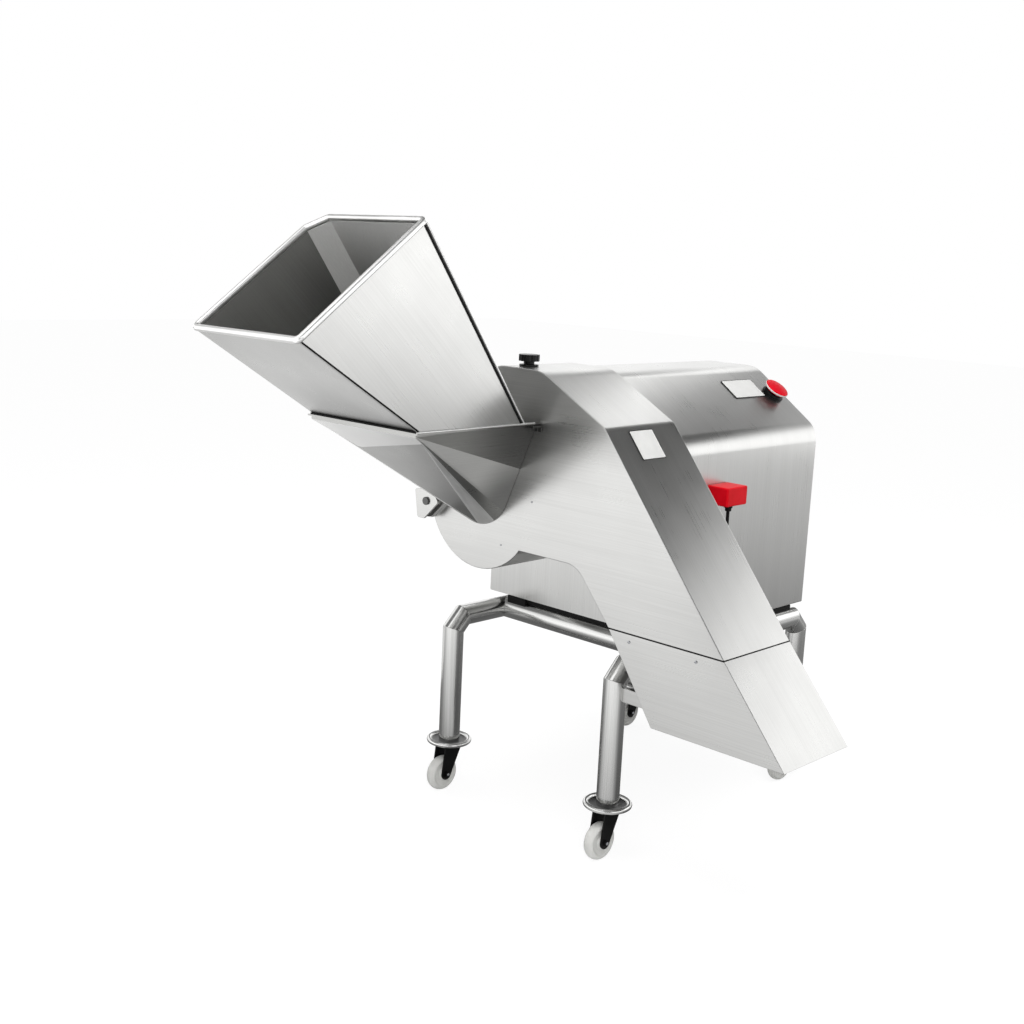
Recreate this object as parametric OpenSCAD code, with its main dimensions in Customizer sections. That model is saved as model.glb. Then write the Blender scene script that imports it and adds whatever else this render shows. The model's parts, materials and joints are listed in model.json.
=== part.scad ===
// Industrial vegetable dicer: hopper, cutting drum and discharge chute in front of a
// drive cabinet, on a tube frame with swivel casters.
// X runs towards the chute, Y from the hopper to the rear, Z up from the floor.
// While it is drawn, x = 0 is the drum axis and y = 0 the front plate's face.

/* [Frame] */
// Outside diameter of the frame tubes
tube_d = 60; // [50:1:70]
// Wall of the frame tubes
tube_wall = 3; // [2:0.5:5]
// Distance between the left and right legs, centre to centre
leg_spacing = 596; // [560:2:640]
// Frame's centre line, measured from the drum axis towards the chute
frame_x = 130; // [110:1:140]
// Front legs' axis behind the front plate
leg_front_y = 85; // [60:1:110]
// Rear legs' axis in front of the cabinet's rear face
leg_rear_inset = 6; // [0:1:40]
// Axis of the top rails above the floor
rail_z = 508; // [460:2:560]
// Length of the mitred knee along the leg and along the rail
knee = 36; // [32:1:60]
// Front cross tube's axis behind the cabinet's front
cross_front_inset = 17; // [5:1:60]
// Rear cross tube's axis in front of the cabinet's rear face
cross_rear_inset = 90; // [60:1:160]
// Rubber pad between cross tube and cabinet
pad_t = 13; // [6:1:20]
// Width of a rubber pad
pad_w = 70; // [40:1:120]

/* [Casters] */
// Wheel diameter
wheel_d = 100; // [80:1:110]
// Wheel width
wheel_w = 32; // [26:1:40]
// Horizontal offset of the axle from the swivel axis
trail = 25; // [15:1:30]
// Axle diameter
axle_d = 12; // [8:1:16]
// Height of the foot flange's underside
flange_z = 138; // [130:1:150]
// Radius of the foot flange to the middle of its bead
flange_r = 57; // [48:1:70]
// Radius of the bead round the foot flange
bead_r = 7; // [3:0.5:8]

/* [Cabinet] */
// Cabinet's centre line, measured from the drum axis towards the chute
cabinet_x = 112; // [100:1:120]
// Cabinet width
cabinet_w = 648; // [620:2:700]
// Cabinet depth
cabinet_d = 658; // [620:2:720]
// Height of the cabinet's side walls up to the shoulder
cabinet_side_h = 514; // [480:2:540]
// Height of the cabinet to its flat top
cabinet_h = 678; // [650:2:720]
// Width of the flat top
cabinet_top_w = 190; // [150:2:260]
// Bend radius at the shoulders
shoulder_r = 70; // [20:1:90]
// Bend radius beside the flat top
roof_r = 90; // [30:1:120]
// Sheet thickness of the cabinet
sheet = 3; // [2:0.5:4]
// Thickness of the bulkhead that carries the bearings
bulkhead_t = 8; // [6:1:12]

/* [Housing] */
// Drum axis above the cabinet's underside
drum_up = 337; // [325:1:350]
// Depth of the cutting housing
housing_d = 272; // [240:2:300]
// Front and back plate thickness
plate_t = 4; // [3:0.5:6]
// Thickness of the band round the housing
band_t = 3; // [2:0.5:4]
// Outside radius of the drum part of the housing
drum_r = 192; // [190:1:200]
// Flat top above the drum axis
top_up = 353; // [340:1:370]
// Left end of the flat top
top_x0 = 47; // [30:1:60]
// Right end of the flat top
top_x1 = 198; // [180:1:215]
// Left shoulder above the drum axis
left_up = 219; // [205:1:230]
// Bend above the chute, across from the drum axis
bend_x = 417; // [400:1:430]
// Bend above the chute, above the drum axis
bend_up = 233; // [220:1:245]
// Corner of the lower edge, across from the drum axis
foot_x = 349; // [340:1:365]
// Lower edge below the drum axis
foot_down = 118; // [112:1:124]
// Radius of the corner of the lower edge
foot_r = 75; // [30:1:90]

/* [Chute] */
// Seam between housing and chute below the drum axis
seam_down = 252; // [235:1:270]
// Left end of the seam
seam_x0 = 464; // [450:1:480]
// Right end of the seam
seam_x1 = 808; // [790:1:830]
// Outlet below the drum axis
outlet_down = 467; // [440:1:490]
// Left end of the outlet
outlet_x0 = 613; // [590:1:640]
// Right end of the outlet
outlet_x1 = 990; // [960:1:1010]
// Height of the inner sleeve at the seam
sleeve_h = 70; // [40:2:100]
// Height of the flat bar that stays the chute
stay_h = 36; // [24:1:50]

/* [Hopper] */
// Width of the hopper
hopper_w = 389; // [370:1:400]
// Sheet thickness of the hopper
hopper_t = 3; // [2:0.5:5]
// Joint between funnel and trough above the drum axis
joint_up = 220; // [200:1:235]
// Front edge of the joint
joint_y0 = -404; // [-430:1:-380]
// Rear edge of the joint
joint_y1 = -48; // [-70:1:-30]
// Front edge of the mouth
mouth_y0 = -744; // [-790:1:-720]
// Front edge of the mouth above the drum axis
mouth_up0 = 431; // [410:1:470]
// Rear edge of the mouth
mouth_y1 = -398; // [-430:1:-380]
// Rear edge of the mouth above the drum axis
mouth_up1 = 695; // [670:1:730]
// Chamfer of the mouth's rear corner on the hinge side
mouth_chamfer = 46; // [20:1:80]
// Height of the rim round the mouth
rim_h = 16; // [8:1:20]
// Width that the rim stands out
rim_out = 7; // [3:1:12]
// Width that the rim stands in
rim_in = 5; // [2:1:8]
// Radius of the feed opening
feed_r = 108; // [95:1:120]
// Centre of the feed opening above the drum axis
feed_up = 37; // [25:1:50]
// Hinge pin left of the drum axis
pin_left = 165; // [155:1:175]
// Hinge pin below the drum axis
pin_down = 33; // [20:1:45]
// Hinge pin diameter
pin_d = 14; // [10:1:18]

/* [Cutting set] */
// Inside radius of the drum case
case_r = 176; // [165:1:178]
// Wall of the drum case
case_t = 5; // [3:0.5:6]
// Gap between impeller and drum case
impeller_gap = 4; // [2:0.5:8]
// Number of impeller paddles
paddles = 5; // [3:1:7]
// Shaft diameter of the impeller
impeller_shaft_d = 50; // [40:1:60]
// Radius of the crosscut knives
crosscut_r = 46; // [38:1:50]
// Number of crosscut knives
crosscut_blades = 6; // [3:1:8]
// Shaft diameter of the crosscut spindle
crosscut_shaft_d = 30; // [24:1:36]
// Radius of the disc knives
disc_r = 84; // [70:1:88]
// Spacing of the disc knives
disc_pitch = 14; // [12:1:25]
// Thickness of a disc knife
disc_t = 3; // [2:0.5:4]
// Shaft diameter of the disc knives
disc_shaft_d = 34; // [28:1:40]

/* [Drive] */
// Gear module
gear_module = 5; // [4.8:0.1:5.2]
// Gear width
gear_w = 30; // [20:1:40]
// Backlash at the pitch circle
backlash = 0.8; // [0.6:0.1:1.2]
// Motor frame diameter
motor_d = 176; // [150:1:190]
// Motor length
motor_l = 270; // [240:2:320]
// Motor shaft diameter
motor_shaft_d = 28; // [22:1:32]
// Belt seat radius on the driven pulley
driven_r = 138; // [120:1:140]
// Belt seat radius on the motor pulley
motor_pulley_r = 45; // [40:1:60]
// Belt width
belt_w = 32; // [20:1:40]
// Belt thickness
belt_t = 9; // [6:0.5:12]

/* [Controls] */
// Diameter of the stop button's head
stop_d = 72; // [50:1:80]
// Travel of the stop button
stop_travel = 5; // [4:0.5:6]
// Stop button in front of the cabinet's rear face
stop_rear = 55; // [45:1:90]
// Size of the interlock switch out from the cabinet
switch_out = 67; // [50:1:80]
// Length of the interlock switch along the cabinet
switch_l = 92; // [70:1:120]
// Height of the interlock switch
switch_h = 50; // [40:1:70]
// Interlock switch behind the cabinet's front
switch_y = 136; // [100:1:200]
// Diameter of the interlock cable
cable_d = 9; // [5:0.5:10]
// Diameter of the clamp knob
knob_d = 54; // [40:1:60]
// Height of the clamp knob's cap
knob_h = 17; // [12:1:22]

/* [Hidden] */
// Running clearance of shafts and pins, per side
running = 0.05;
// Clearance of pieces keyed or pressed on one another, per side
seated = 0.02;
// Clearance between pieces that move past each other
clear = 0.3;
// Gap left for the weld between mitred tubes
weld = 0.05;
// Gap left for the weld where a tube's end is coped round another
cope = 0.6;
// Angle between points along bent and round outlines
arc_step = 6;

tube_r = tube_d / 2;
leg_x = [frame_x - leg_spacing / 2, frame_x + leg_spacing / 2];
cabinet_y0 = housing_d;
cabinet_y1 = cabinet_y0 + cabinet_d;
leg_y = [leg_front_y, cabinet_y1 - leg_rear_inset];
cross_y = [cabinet_y0 + cross_front_inset, cabinet_y1 - cross_rear_inset];
cabinet_z = rail_z + tube_r + pad_t;
cabinet_x0 = cabinet_x - cabinet_w / 2;
cabinet_x1 = cabinet_x + cabinet_w / 2;
drum_z = cabinet_z + drum_up;

flange_t = 6;
foot_reach = flange_r + bead_r;
king_pin_r = 10;
fork_gap = 1.5;
cheek_t = 4;
crown_t = 9;

mouth_run = [mouth_y1 - mouth_y0, mouth_up1 - mouth_up0];
mouth_slope = atan2(mouth_run[1], mouth_run[0]);
trough_y1 = -0.8;
lip_h = 12;
flange_out = 10;
trough_flange_h = 4;
rim_front_y = mouth_y0 - rim_out * cos(mouth_slope) - rim_h * sin(mouth_slope);

origin_x = (leg_x[0] - foot_reach + outlet_x1) / 2;
origin_y = (rim_front_y + leg_y[1] + foot_reach) / 2;

// Gear train: impeller gear, crosscut gear, disc gear
teeth = [62, 32, 24];
crosscut_angle = 22;
disc_angle = -40;
pressure_angle = 20;
tooth_pitch = [for (z = teeth) 360 / z];
crosscut_at = gear_module * (teeth[0] + teeth[1]) / 2 * [cos(crosscut_angle), sin(crosscut_angle)];
disc_at = crosscut_at + gear_module * (teeth[1] + teeth[2]) / 2 * [cos(disc_angle), sin(disc_angle)];
impeller_phase = 0;
crosscut_phase = meshed(impeller_phase, crosscut_angle, tooth_pitch[0], tooth_pitch[1]);
disc_phase = meshed(crosscut_phase, disc_angle, tooth_pitch[1], tooth_pitch[2]);

// Places along the shafts, from the bulkhead to the rear
bulkhead_y1 = cabinet_y0 + bulkhead_t;
shaft_room = 3;
bearing_l = 60;
bearing_wall = 20;
bearing_flange = 18;
bearing_flange_t = 12;
gear_y = bulkhead_y1 + bearing_l + 8;
spindle_end_y = gear_y + gear_w + 6;
pulley_y = spindle_end_y + 10;
web_least = 20;
pulley_flange_t = 5;
pulley_flange_h = 8;
pulley_l = belt_w + 2 * pulley_flange_t + 2 * clear;
block_y = pulley_y + pulley_l + 16;
block_t = 36;
cutter_y0 = plate_t + 8;
cutter_y1 = housing_d - plate_t - 12;
gate = [crosscut_angle + 20, crosscut_angle + 50];
feed_margin = 10;
impeller_r = case_r - impeller_gap;
impeller_hub_l = 60;
comb_bar = [44, 20];
disc_hub_r = disc_shaft_d / 2 + 10;
disc_count = floor((cutter_y1 - cutter_y0 - disc_t) / disc_pitch) + 1;

mains_gland_r = 14;
mains_bore_r = 6;
mains_inset = 90;
mains_up = 70;
mains_at = [cabinet_x0 + mains_inset, cabinet_z + mains_up];

floor_up = cabinet_z + sheet - drum_z;
motor_foot = 22;
motor_x = 244;
motor_at = [motor_x, floor_up + motor_foot + motor_d / 2];
motor_y = pulley_y + pulley_l + 24;

shoulder_slope = atan2(cabinet_h - cabinet_side_h, (cabinet_w - cabinet_top_w) / 2);
slope_run = (cabinet_w - cabinet_top_w) / 2;
stop_along = 0.45 * slope_run;
stop_x = cabinet_x + cabinet_top_w / 2 + stop_along;
stop_z = cabinet_z + cabinet_h - stop_along * tan(shoulder_slope);
stop_y = cabinet_y1 - stop_rear;
collar_h = 12;
stop_floor = 1;
stop_gap = stop_travel + 1;
stem_r = 10;

switch_z = drum_z + 12;
gland_h = 18;
gland_at = [cabinet_x1 + switch_out * 0.6, cabinet_y0 + switch_y + switch_l / 2];
cable_bend = 3 * cable_d;
cable_drop = 34;

knob_at = [97, 62];
knob_collar_h = 5;
knob_floor = 1;
knob_neck_h = 8;
stud_r = 6;

hinge_leaf_t = 6;
hinge_base_t = 6;
lug_t = 18;
lug_y1 = -hinge_base_t - hinge_leaf_t - clear - 2;
lug_y0 = lug_y1 - lug_t;
hinge_y0 = lug_y0 - clear - hinge_leaf_t;

steel = "silver";
dark_steel = "dimgray";
rubber = [0.08, 0.08, 0.08];
red = [0.85, 0.04, 0.06];
nylon = "whitesmoke";

// Outlines are lists of corners [across, up, bend radius] in anticlockwise order
function flat(p) = [p[0], p[1]];
function unit(v) = v / norm(v);
function across(v) = [-v[1], v[0]];
function turned(v, a) = [v[0] * cos(a) - v[1] * sin(a), v[0] * sin(a) + v[1] * cos(a)];
function edge_in(p, i) = unit(flat(p[i]) - flat(p[(i + len(p) - 1) % len(p)]));
function edge_out(p, i) = unit(flat(p[(i + 1) % len(p)]) - flat(p[i]));
function bend_at(p, i) =
    let (u = edge_in(p, i), v = edge_out(p, i)) atan2(u[0] * v[1] - u[1] * v[0], u * v);

// The same outline with every edge moved inwards by t
function inset(p, t) = [for (i = [0 : len(p) - 1])
    let (u = edge_in(p, i),
         v = edge_out(p, i),
         q = flat(p[i]) + (across(u) + across(v)) * t / (1 + u * v),
         r = p[i][2] > 0 ? max(p[i][2] - sign(bend_at(p, i)) * t, 0.1) : 0)
    [q[0], q[1], r]];

// Points of one corner: the corner itself, or an arc of its bend radius
function corner_points(p, i) =
    let (u = edge_in(p, i),
         a = bend_at(p, i),
         r = p[i][2],
         start = flat(p[i]) - u * r * tan(abs(a) / 2),
         centre = start + across(u) * r * sign(a),
         steps = max(1, ceil(abs(a) / arc_step)))
    r <= 0 ? [flat(p[i])] : [for (k = [0 : steps]) centre + turned(start - centre, a * k / steps)];
function bent(p) = [for (i = [0 : len(p) - 1]) each corner_points(p, i)];

// The same outline with its first and last corner run out past the edge between them
function past(a, b, l) = let (q = flat(a) + unit(flat(a) - flat(b)) * l) [q[0], q[1], a[2]];
function opened(p, l) = let (n = len(p) - 1)
    [for (i = [0 : n]) i == 0 ? past(p[0], p[1], l) : i == n ? past(p[n], p[n - 1], l) : p[i]];

// Tooth phase of a wheel that meshes with another in the direction a from it
function meshed(phase, a, pitch, own_pitch) = a + 180 - own_pitch * ((phase - a) / pitch + 0.5);

// Housing outline, from the seam's right end over the top and round the drum
drum_edge = asin(foot_down / drum_r);
drum_steps = ceil((180 - drum_edge) / arc_step);
bend_r = 40;
top_r1 = 130;
top_r0 = 70;
left_r = 60;
housing_corners = concat(
    [[seam_x1, -seam_down, 0], [bend_x, bend_up, bend_r], [top_x1, top_up, top_r1],
     [top_x0, top_up, top_r0], [-drum_r, left_up, left_r]],
    [for (k = [0 : drum_steps])
        let (a = 180 + (180 - drum_edge) * k / drum_steps) [drum_r * cos(a), drum_r * sin(a), 0]],
    [[foot_x, -foot_down, foot_r], [seam_x0, -seam_down, 0]]);

cabinet_corners = [
    [cabinet_x0, cabinet_z, 4], [cabinet_x1, cabinet_z, 4],
    [cabinet_x1, cabinet_z + cabinet_side_h, shoulder_r],
    [cabinet_x + cabinet_top_w / 2, cabinet_z + cabinet_h, roof_r],
    [cabinet_x - cabinet_top_w / 2, cabinet_z + cabinet_h, roof_r],
    [cabinet_x0, cabinet_z + cabinet_side_h, shoulder_r]];

// Lean of the left and right walls, across for each step down, in the chute and above its seam
chute_h = outlet_down - seam_down;
chute_lean = [outlet_x0 - seam_x0, outlet_x1 - seam_x1] / chute_h;
housing_lean = [(seam_x0 - foot_x) / (seam_down - foot_down), (seam_x1 - bend_x) / (seam_down + bend_up)];
function slant(lean) = sqrt(1 + lean * lean);

// Moves the finished drawing to its origin on the floor, at the middle of its box
module placed() { translate([-origin_x, -origin_y, 0]) children(); }
// Moves to the height of the drum axis as well
module at_drum() { placed() translate([0, 0, drum_z]) children(); }
// A flat shape in X and Z, given depth along Y
module along_y(y0, depth) {
    translate([0, y0 + depth, 0]) rotate([90, 0, 0]) linear_extrude(depth) children();
}
// A flat shape in Y and Z, given width along X
module along_x(x0, width) {
    translate([x0, 0, 0]) rotate([90, 0, 90]) linear_extrude(width) children();
}
// A ring or, without a bore, a disc
module ring(outer, bore = 0) {
    difference() {
        circle(r = outer, $fn = 96);
        if (bore > 0) circle(r = bore, $fn = 96);
    }
}
module rod(r, y0, y1) { along_y(y0, y1 - y0) ring(r); }

// Frame

// Everything behind a plane through a point, seen along the plane's normal in Y and Z
module beyond(y, z, angle) {
    reach = 4 * tube_d;
    translate([0, y, z]) rotate([angle, 0, 0])
        translate([-reach / 2, -reach / 2, 0]) cube([reach, reach, reach]);
}
module frame_tube(length) {
    linear_extrude(length) ring(tube_r, tube_r - tube_wall);
}
// Leg with its mitred knee, leaning towards +Y, drawn at its own axis
module leg() {
    foot = flange_z + flange_t;
    mitre = 22.5;
    difference() {
        translate([0, 0, foot]) frame_tube(rail_z - foot);
        beyond(0, rail_z - knee, -mitre);
    }
    difference() {
        translate([0, 0, rail_z - knee]) rotate([-45, 0, 0]) translate([0, 0, -tube_d])
            frame_tube(knee * sqrt(2) + 2 * tube_d);
        beyond(0, rail_z - knee + weld, 180 - mitre);
        beyond(knee - weld, rail_z, -90 + mitre);
    }
}
module side_rail(x) {
    mitre = 22.5;
    y0 = leg_y[0] + knee;
    y1 = leg_y[1] - knee;
    difference() {
        translate([x, y0 - tube_d, rail_z]) rotate([-90, 0, 0]) frame_tube(y1 - y0 + 2 * tube_d);
        translate([x, 0, 0]) beyond(y0, rail_z, 90 + mitre);
        translate([x, 0, 0]) beyond(y1, rail_z, -90 - mitre);
    }
}
module cross_tube(y) {
    difference() {
        translate([leg_x[0], y, rail_z]) rotate([0, 90, 0]) frame_tube(leg_spacing);
        for (x = leg_x) translate([x, y - tube_d, rail_z]) rotate([-90, 0, 0])
            cylinder(r = tube_r + cope, h = 2 * tube_d, $fn = 96);
    }
}
module leg_front_left() { color(steel) placed() translate([leg_x[0], leg_y[0], 0]) leg(); }
module leg_front_right() { color(steel) placed() translate([leg_x[1], leg_y[0], 0]) leg(); }
module leg_rear_left() { color(steel) placed() translate([leg_x[0], leg_y[1], 0]) rotate(180) leg(); }
module leg_rear_right() { color(steel) placed() translate([leg_x[1], leg_y[1], 0]) rotate(180) leg(); }
module side_rail_left() { color(steel) placed() side_rail(leg_x[0]); }
module side_rail_right() { color(steel) placed() side_rail(leg_x[1]); }
module cross_tube_front() { color(steel) placed() cross_tube(cross_y[0]); }
module cross_tube_rear() { color(steel) placed() cross_tube(cross_y[1]); }

// Dished flange with a beaded edge under each leg
module foot_flange() {
    dish = 4;
    rotate_extrude($fn = 96) {
        polygon([
            [king_pin_r + running, flange_z], [tube_r + 4, flange_z],
            [flange_r, flange_z + flange_t - 1], [flange_r, flange_z + flange_t - 1 + dish],
            [tube_r + 4, flange_z + flange_t], [king_pin_r + running, flange_z + flange_t]]);
        translate([flange_r, flange_z + flange_t + dish / 2 - 1]) circle(r = bead_r, $fn = 32);
    }
}
module foot_flanges() {
    color(steel) placed() for (x = leg_x, y = leg_y) translate([x, y, 0]) foot_flange();
}

// Flat bar from the front right leg to the chute's left wall
module chute_stay() {
    stay_t = 6;
    top = -outlet_down + stay_h + 6;
    lean = chute_lean[0];
    wall_x = outlet_x0 - (top + outlet_down) * lean;
    color(steel) at_drum() difference() {
        along_y(leg_y[0] - stay_t / 2, stay_t) polygon([
            [leg_x[1], top - stay_h], [wall_x + stay_h * lean, top - stay_h],
            [wall_x, top], [leg_x[1], top]]);
        translate([leg_x[1], leg_y[0], top - 2 * stay_h])
            cylinder(r = tube_r + seated, h = 3 * stay_h, $fn = 96);
    }
}

// Rubber saddles on the cross tubes
module mounting_pads() {
    pad_inset = 110;
    color(rubber) placed() for (y = cross_y, side = [-1, 1]) difference() {
        translate([cabinet_x + side * (cabinet_w / 2 - pad_inset) - pad_w / 2, y - tube_r * 0.7, rail_z])
            cube([pad_w, tube_r * 1.4, tube_r + pad_t]);
        translate([leg_x[0], y, rail_z]) rotate([0, 90, 0])
            cylinder(r = tube_r + seated, h = leg_spacing, $fn = 96);
    }
}

// Cabinet

module cabinet_shell() {
    color(steel) placed() along_y(cabinet_y0, cabinet_d) difference() {
        polygon(bent(cabinet_corners));
        polygon(bent(inset(cabinet_corners, sheet)));
        translate([cabinet_x0 + sheet, cabinet_z - 1]) square([cabinet_w - 2 * sheet, sheet + 2]);
    }
}
module cabinet_floor() {
    color(steel) placed() translate([cabinet_x0 + sheet, bulkhead_y1, cabinet_z])
        cube([cabinet_w - 2 * sheet, cabinet_d - bulkhead_t - sheet, sheet]);
}
// A panel that closes the shell, in the plane of X and Z
module panel_outline() {
    intersection() {
        polygon(bent(inset(cabinet_corners, sheet)));
        translate([cabinet_x0, cabinet_z]) square([cabinet_w, 2 * cabinet_h]);
    }
    translate([cabinet_x0 + sheet, cabinet_z]) square([cabinet_w - 2 * sheet, 3 * sheet]);
}
// Holes for the three cutter shafts
module shaft_holes(room) {
    circle(r = impeller_shaft_d / 2 + room, $fn = 96);
    translate(crosscut_at) circle(r = crosscut_shaft_d / 2 + room, $fn = 96);
    translate(disc_at) circle(r = disc_shaft_d / 2 + room, $fn = 96);
}
module cabinet_bulkhead() {
    color(steel) placed() along_y(cabinet_y0, bulkhead_t) difference() {
        panel_outline();
        translate([0, drum_z]) shaft_holes(shaft_room);
    }
}
module cabinet_rear_panel() {
    color(steel) placed() along_y(cabinet_y1 - sheet, sheet) difference() {
        panel_outline();
        translate(mains_at) circle(r = mains_gland_r * 0.7 + seated, $fn = 96);
    }
}
module mains_gland() {
    nut_t = 8;
    color(rubber) placed() translate([mains_at[0], 0, mains_at[1]]) difference() {
        union() {
            rod(mains_gland_r * 0.7, cabinet_y1 - sheet - 12, cabinet_y1 + 24);
            along_y(cabinet_y1, nut_t) circle(r = mains_gland_r, $fn = 6);
            along_y(cabinet_y1 - sheet - nut_t, nut_t) circle(r = mains_gland_r, $fn = 6);
            rod(mains_gland_r * 0.9, cabinet_y1 + nut_t, cabinet_y1 + 20);
        }
        rod(mains_bore_r, cabinet_y1 - 40, cabinet_y1 + 40);
    }
}

// Cutting housing

// Flared opening of the trough, smaller by t on every side
module feed_outline(t) {
    hull() {
        translate([0, feed_up]) circle(r = feed_r - t, $fn = 64);
        translate([-hopper_w / 2 + t, joint_up - 1]) square([hopper_w - 2 * t, 1]);
    }
}
module housing_front_plate() {
    color(steel) at_drum() along_y(0, plate_t) difference() {
        polygon(bent(housing_corners));
        intersection() {
            feed_outline(hopper_t);
            circle(r = case_r - feed_margin, $fn = 96);
        }
    }
}
module housing_band() {
    color(steel) at_drum() along_y(plate_t, housing_d - 2 * plate_t) difference() {
        polygon(bent(housing_corners));
        polygon(bent(opened(inset(housing_corners, band_t), 3 * band_t)));
    }
}
module housing_back_plate() {
    color(steel) at_drum() along_y(housing_d - plate_t, plate_t) difference() {
        polygon(bent(housing_corners));
        shaft_holes(shaft_room);
    }
}

// The chute's slanted outline, smaller by t on both sides, between two heights above the seam
module chute_outline(t, low, high) {
    left = seam_x0 + t * slant(chute_lean[0]);
    right = seam_x1 - t * slant(chute_lean[1]);
    translate([0, -seam_down]) polygon([
        [left - low * chute_lean[0], low], [right - low * chute_lean[1], low],
        [right - high * chute_lean[1], high], [left - high * chute_lean[0], high]]);
}
module chute_extension() {
    color(steel) at_drum() difference() {
        along_y(0, housing_d) chute_outline(0, -chute_h, 0);
        along_y(plate_t, housing_d - 2 * plate_t) chute_outline(band_t, -chute_h - 1, 1);
    }
}
// Outline inside both housing and chute, smaller by t on both sides, up to a reach from the seam
module seam_outline(t, reach) {
    left = seam_x0 + t * slant(max(chute_lean[0], housing_lean[0]));
    right = seam_x1 - t * slant(max(chute_lean[1], housing_lean[1]));
    translate([0, -seam_down]) polygon([
        [left + reach * chute_lean[0], -reach], [right + reach * chute_lean[1], -reach], [right, 0],
        [right - reach * housing_lean[1], reach], [left - reach * housing_lean[0], reach], [left, 0]]);
}
// Inner frame that joins housing and chute across the seam
module chute_sleeve() {
    color(steel) at_drum() difference() {
        along_y(plate_t, housing_d - 2 * plate_t) seam_outline(band_t + seated, sleeve_h / 2);
        along_y(plate_t + band_t, housing_d - 2 * plate_t - 2 * band_t)
            seam_outline(2 * band_t + seated, sleeve_h);
    }
}

// Cutting set

// Wedge from the drum axis between two angles
module wedge(a0, a1) {
    reach = 2 * case_r;
    polygon([[0, 0], reach * [cos(a0), sin(a0)], reach * [cos(a1), sin(a1)]]);
}
module drum_case() {
    color(steel) at_drum() along_y(plate_t, housing_d - 2 * plate_t) difference() {
        ring(case_r + case_t, case_r);
        wedge(gate[0], gate[1]);
    }
}
// Knife at the lower edge of the gate, ground to an edge that points up
module slice_knife() {
    blade_l = 46;
    blade_t = 5;
    heel = -30;
    color(dark_steel) at_drum() along_y(plate_t, housing_d - 2 * plate_t)
        rotate(gate[0]) translate([case_r + case_t, 0])
            polygon([[0, heel], [blade_t, heel], [blade_t, blade_l + heel - 14], [0, blade_l + heel]]);
}
module impeller() {
    disc_t0 = 12;
    front_ring_w = 18;
    front_ring_t = 6;
    paddle_r0 = 106;
    paddle_t = 8;
    sweep_r = 110;
    root = 2;
    paddle_y0 = cutter_y0 + root;
    mid = (paddle_r0 + impeller_r) / 2;
    hub_r = impeller_shaft_d / 2 + 16;
    color(steel) at_drum() difference() {
        union() {
            rod(impeller_r, cutter_y1 - disc_t0, cutter_y1);
            rod(hub_r, cutter_y1 - impeller_hub_l, cutter_y1);
            along_y(cutter_y0, front_ring_t) ring(impeller_r, impeller_r - front_ring_w);
            along_y(paddle_y0, cutter_y1 - root - paddle_y0)
                for (k = [0 : paddles - 1]) rotate(360 * k / paddles) intersection() {
                    ring(impeller_r - root, paddle_r0);
                    translate([mid, -sweep_r]) ring(sweep_r + paddle_t / 2, sweep_r - paddle_t / 2);
                    translate([0, -sweep_r / 2]) square(2 * sweep_r);
                }
        }
        rod(impeller_shaft_d / 2 + seated, 0, housing_d);
    }
}
module impeller_shaft() {
    cap_r = impeller_shaft_d / 2 + 8;
    cap_t = 8;
    nose = cutter_y1 - impeller_hub_l;
    color(dark_steel) at_drum() {
        rod(impeller_shaft_d / 2, nose, block_y + block_t + 8);
        rod(cap_r, nose - cap_t, nose);
    }
}
// Straight knives set in a drum, each ground on its leading side
module crosscut_knives() {
    holder_r = crosscut_r - 14;
    blade_t = 6;
    color(steel) at_drum() translate([crosscut_at[0], 0, crosscut_at[1]])
        along_y(cutter_y0, cutter_y1 - cutter_y0) difference() {
            union() {
                circle(r = holder_r, $fn = 96);
                for (k = [0 : crosscut_blades - 1]) rotate(360 * k / crosscut_blades)
                    polygon([[0, 0], [crosscut_r, 0], [holder_r, blade_t], [0, blade_t]]);
            }
            circle(r = crosscut_shaft_d / 2 + seated, $fn = 96);
        }
}
module crosscut_spindle() {
    color(dark_steel) at_drum() translate([crosscut_at[0], 0, crosscut_at[1]])
        rod(crosscut_shaft_d / 2, cutter_y0 - 2, spindle_end_y);
}
// Row of round knives on one hub
module disc_knives() {
    color(steel) at_drum() translate([disc_at[0], 0, disc_at[1]]) difference() {
        union() {
            rod(disc_hub_r, cutter_y0, cutter_y1);
            for (k = [0 : disc_count - 1]) translate([0, cutter_y0 + k * disc_pitch, 0])
                rod(disc_r, 0, disc_t);
        }
        rod(disc_shaft_d / 2 + seated, 0, housing_d);
    }
}
module disc_shaft() {
    color(dark_steel) at_drum() translate([disc_at[0], 0, disc_at[1]])
        rod(disc_shaft_d / 2, cutter_y0 - 2, spindle_end_y);
}
// Bar with a finger in every gap between the disc knives
module stripper_comb() {
    finger_t = disc_pitch - disc_t - 5;
    finger_w = 26;
    top = -disc_hub_r - 4;
    bar_top = -disc_r - 5;
    color(steel) at_drum() translate([disc_at[0], 0, disc_at[1]]) {
        along_y(plate_t, housing_d - 2 * plate_t)
            translate([-comb_bar[0] / 2, bar_top - comb_bar[1]]) square(comb_bar);
        for (k = [0 : disc_count - 2])
            along_y(cutter_y0 + disc_t + 2.5 + k * disc_pitch, finger_t)
                polygon([
                    [-finger_w / 2, bar_top], [finger_w / 2, bar_top],
                    [finger_w / 4, top - 4], [0, top], [-finger_w / 4, top - 4]]);
    }
}

// Drive

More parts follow.
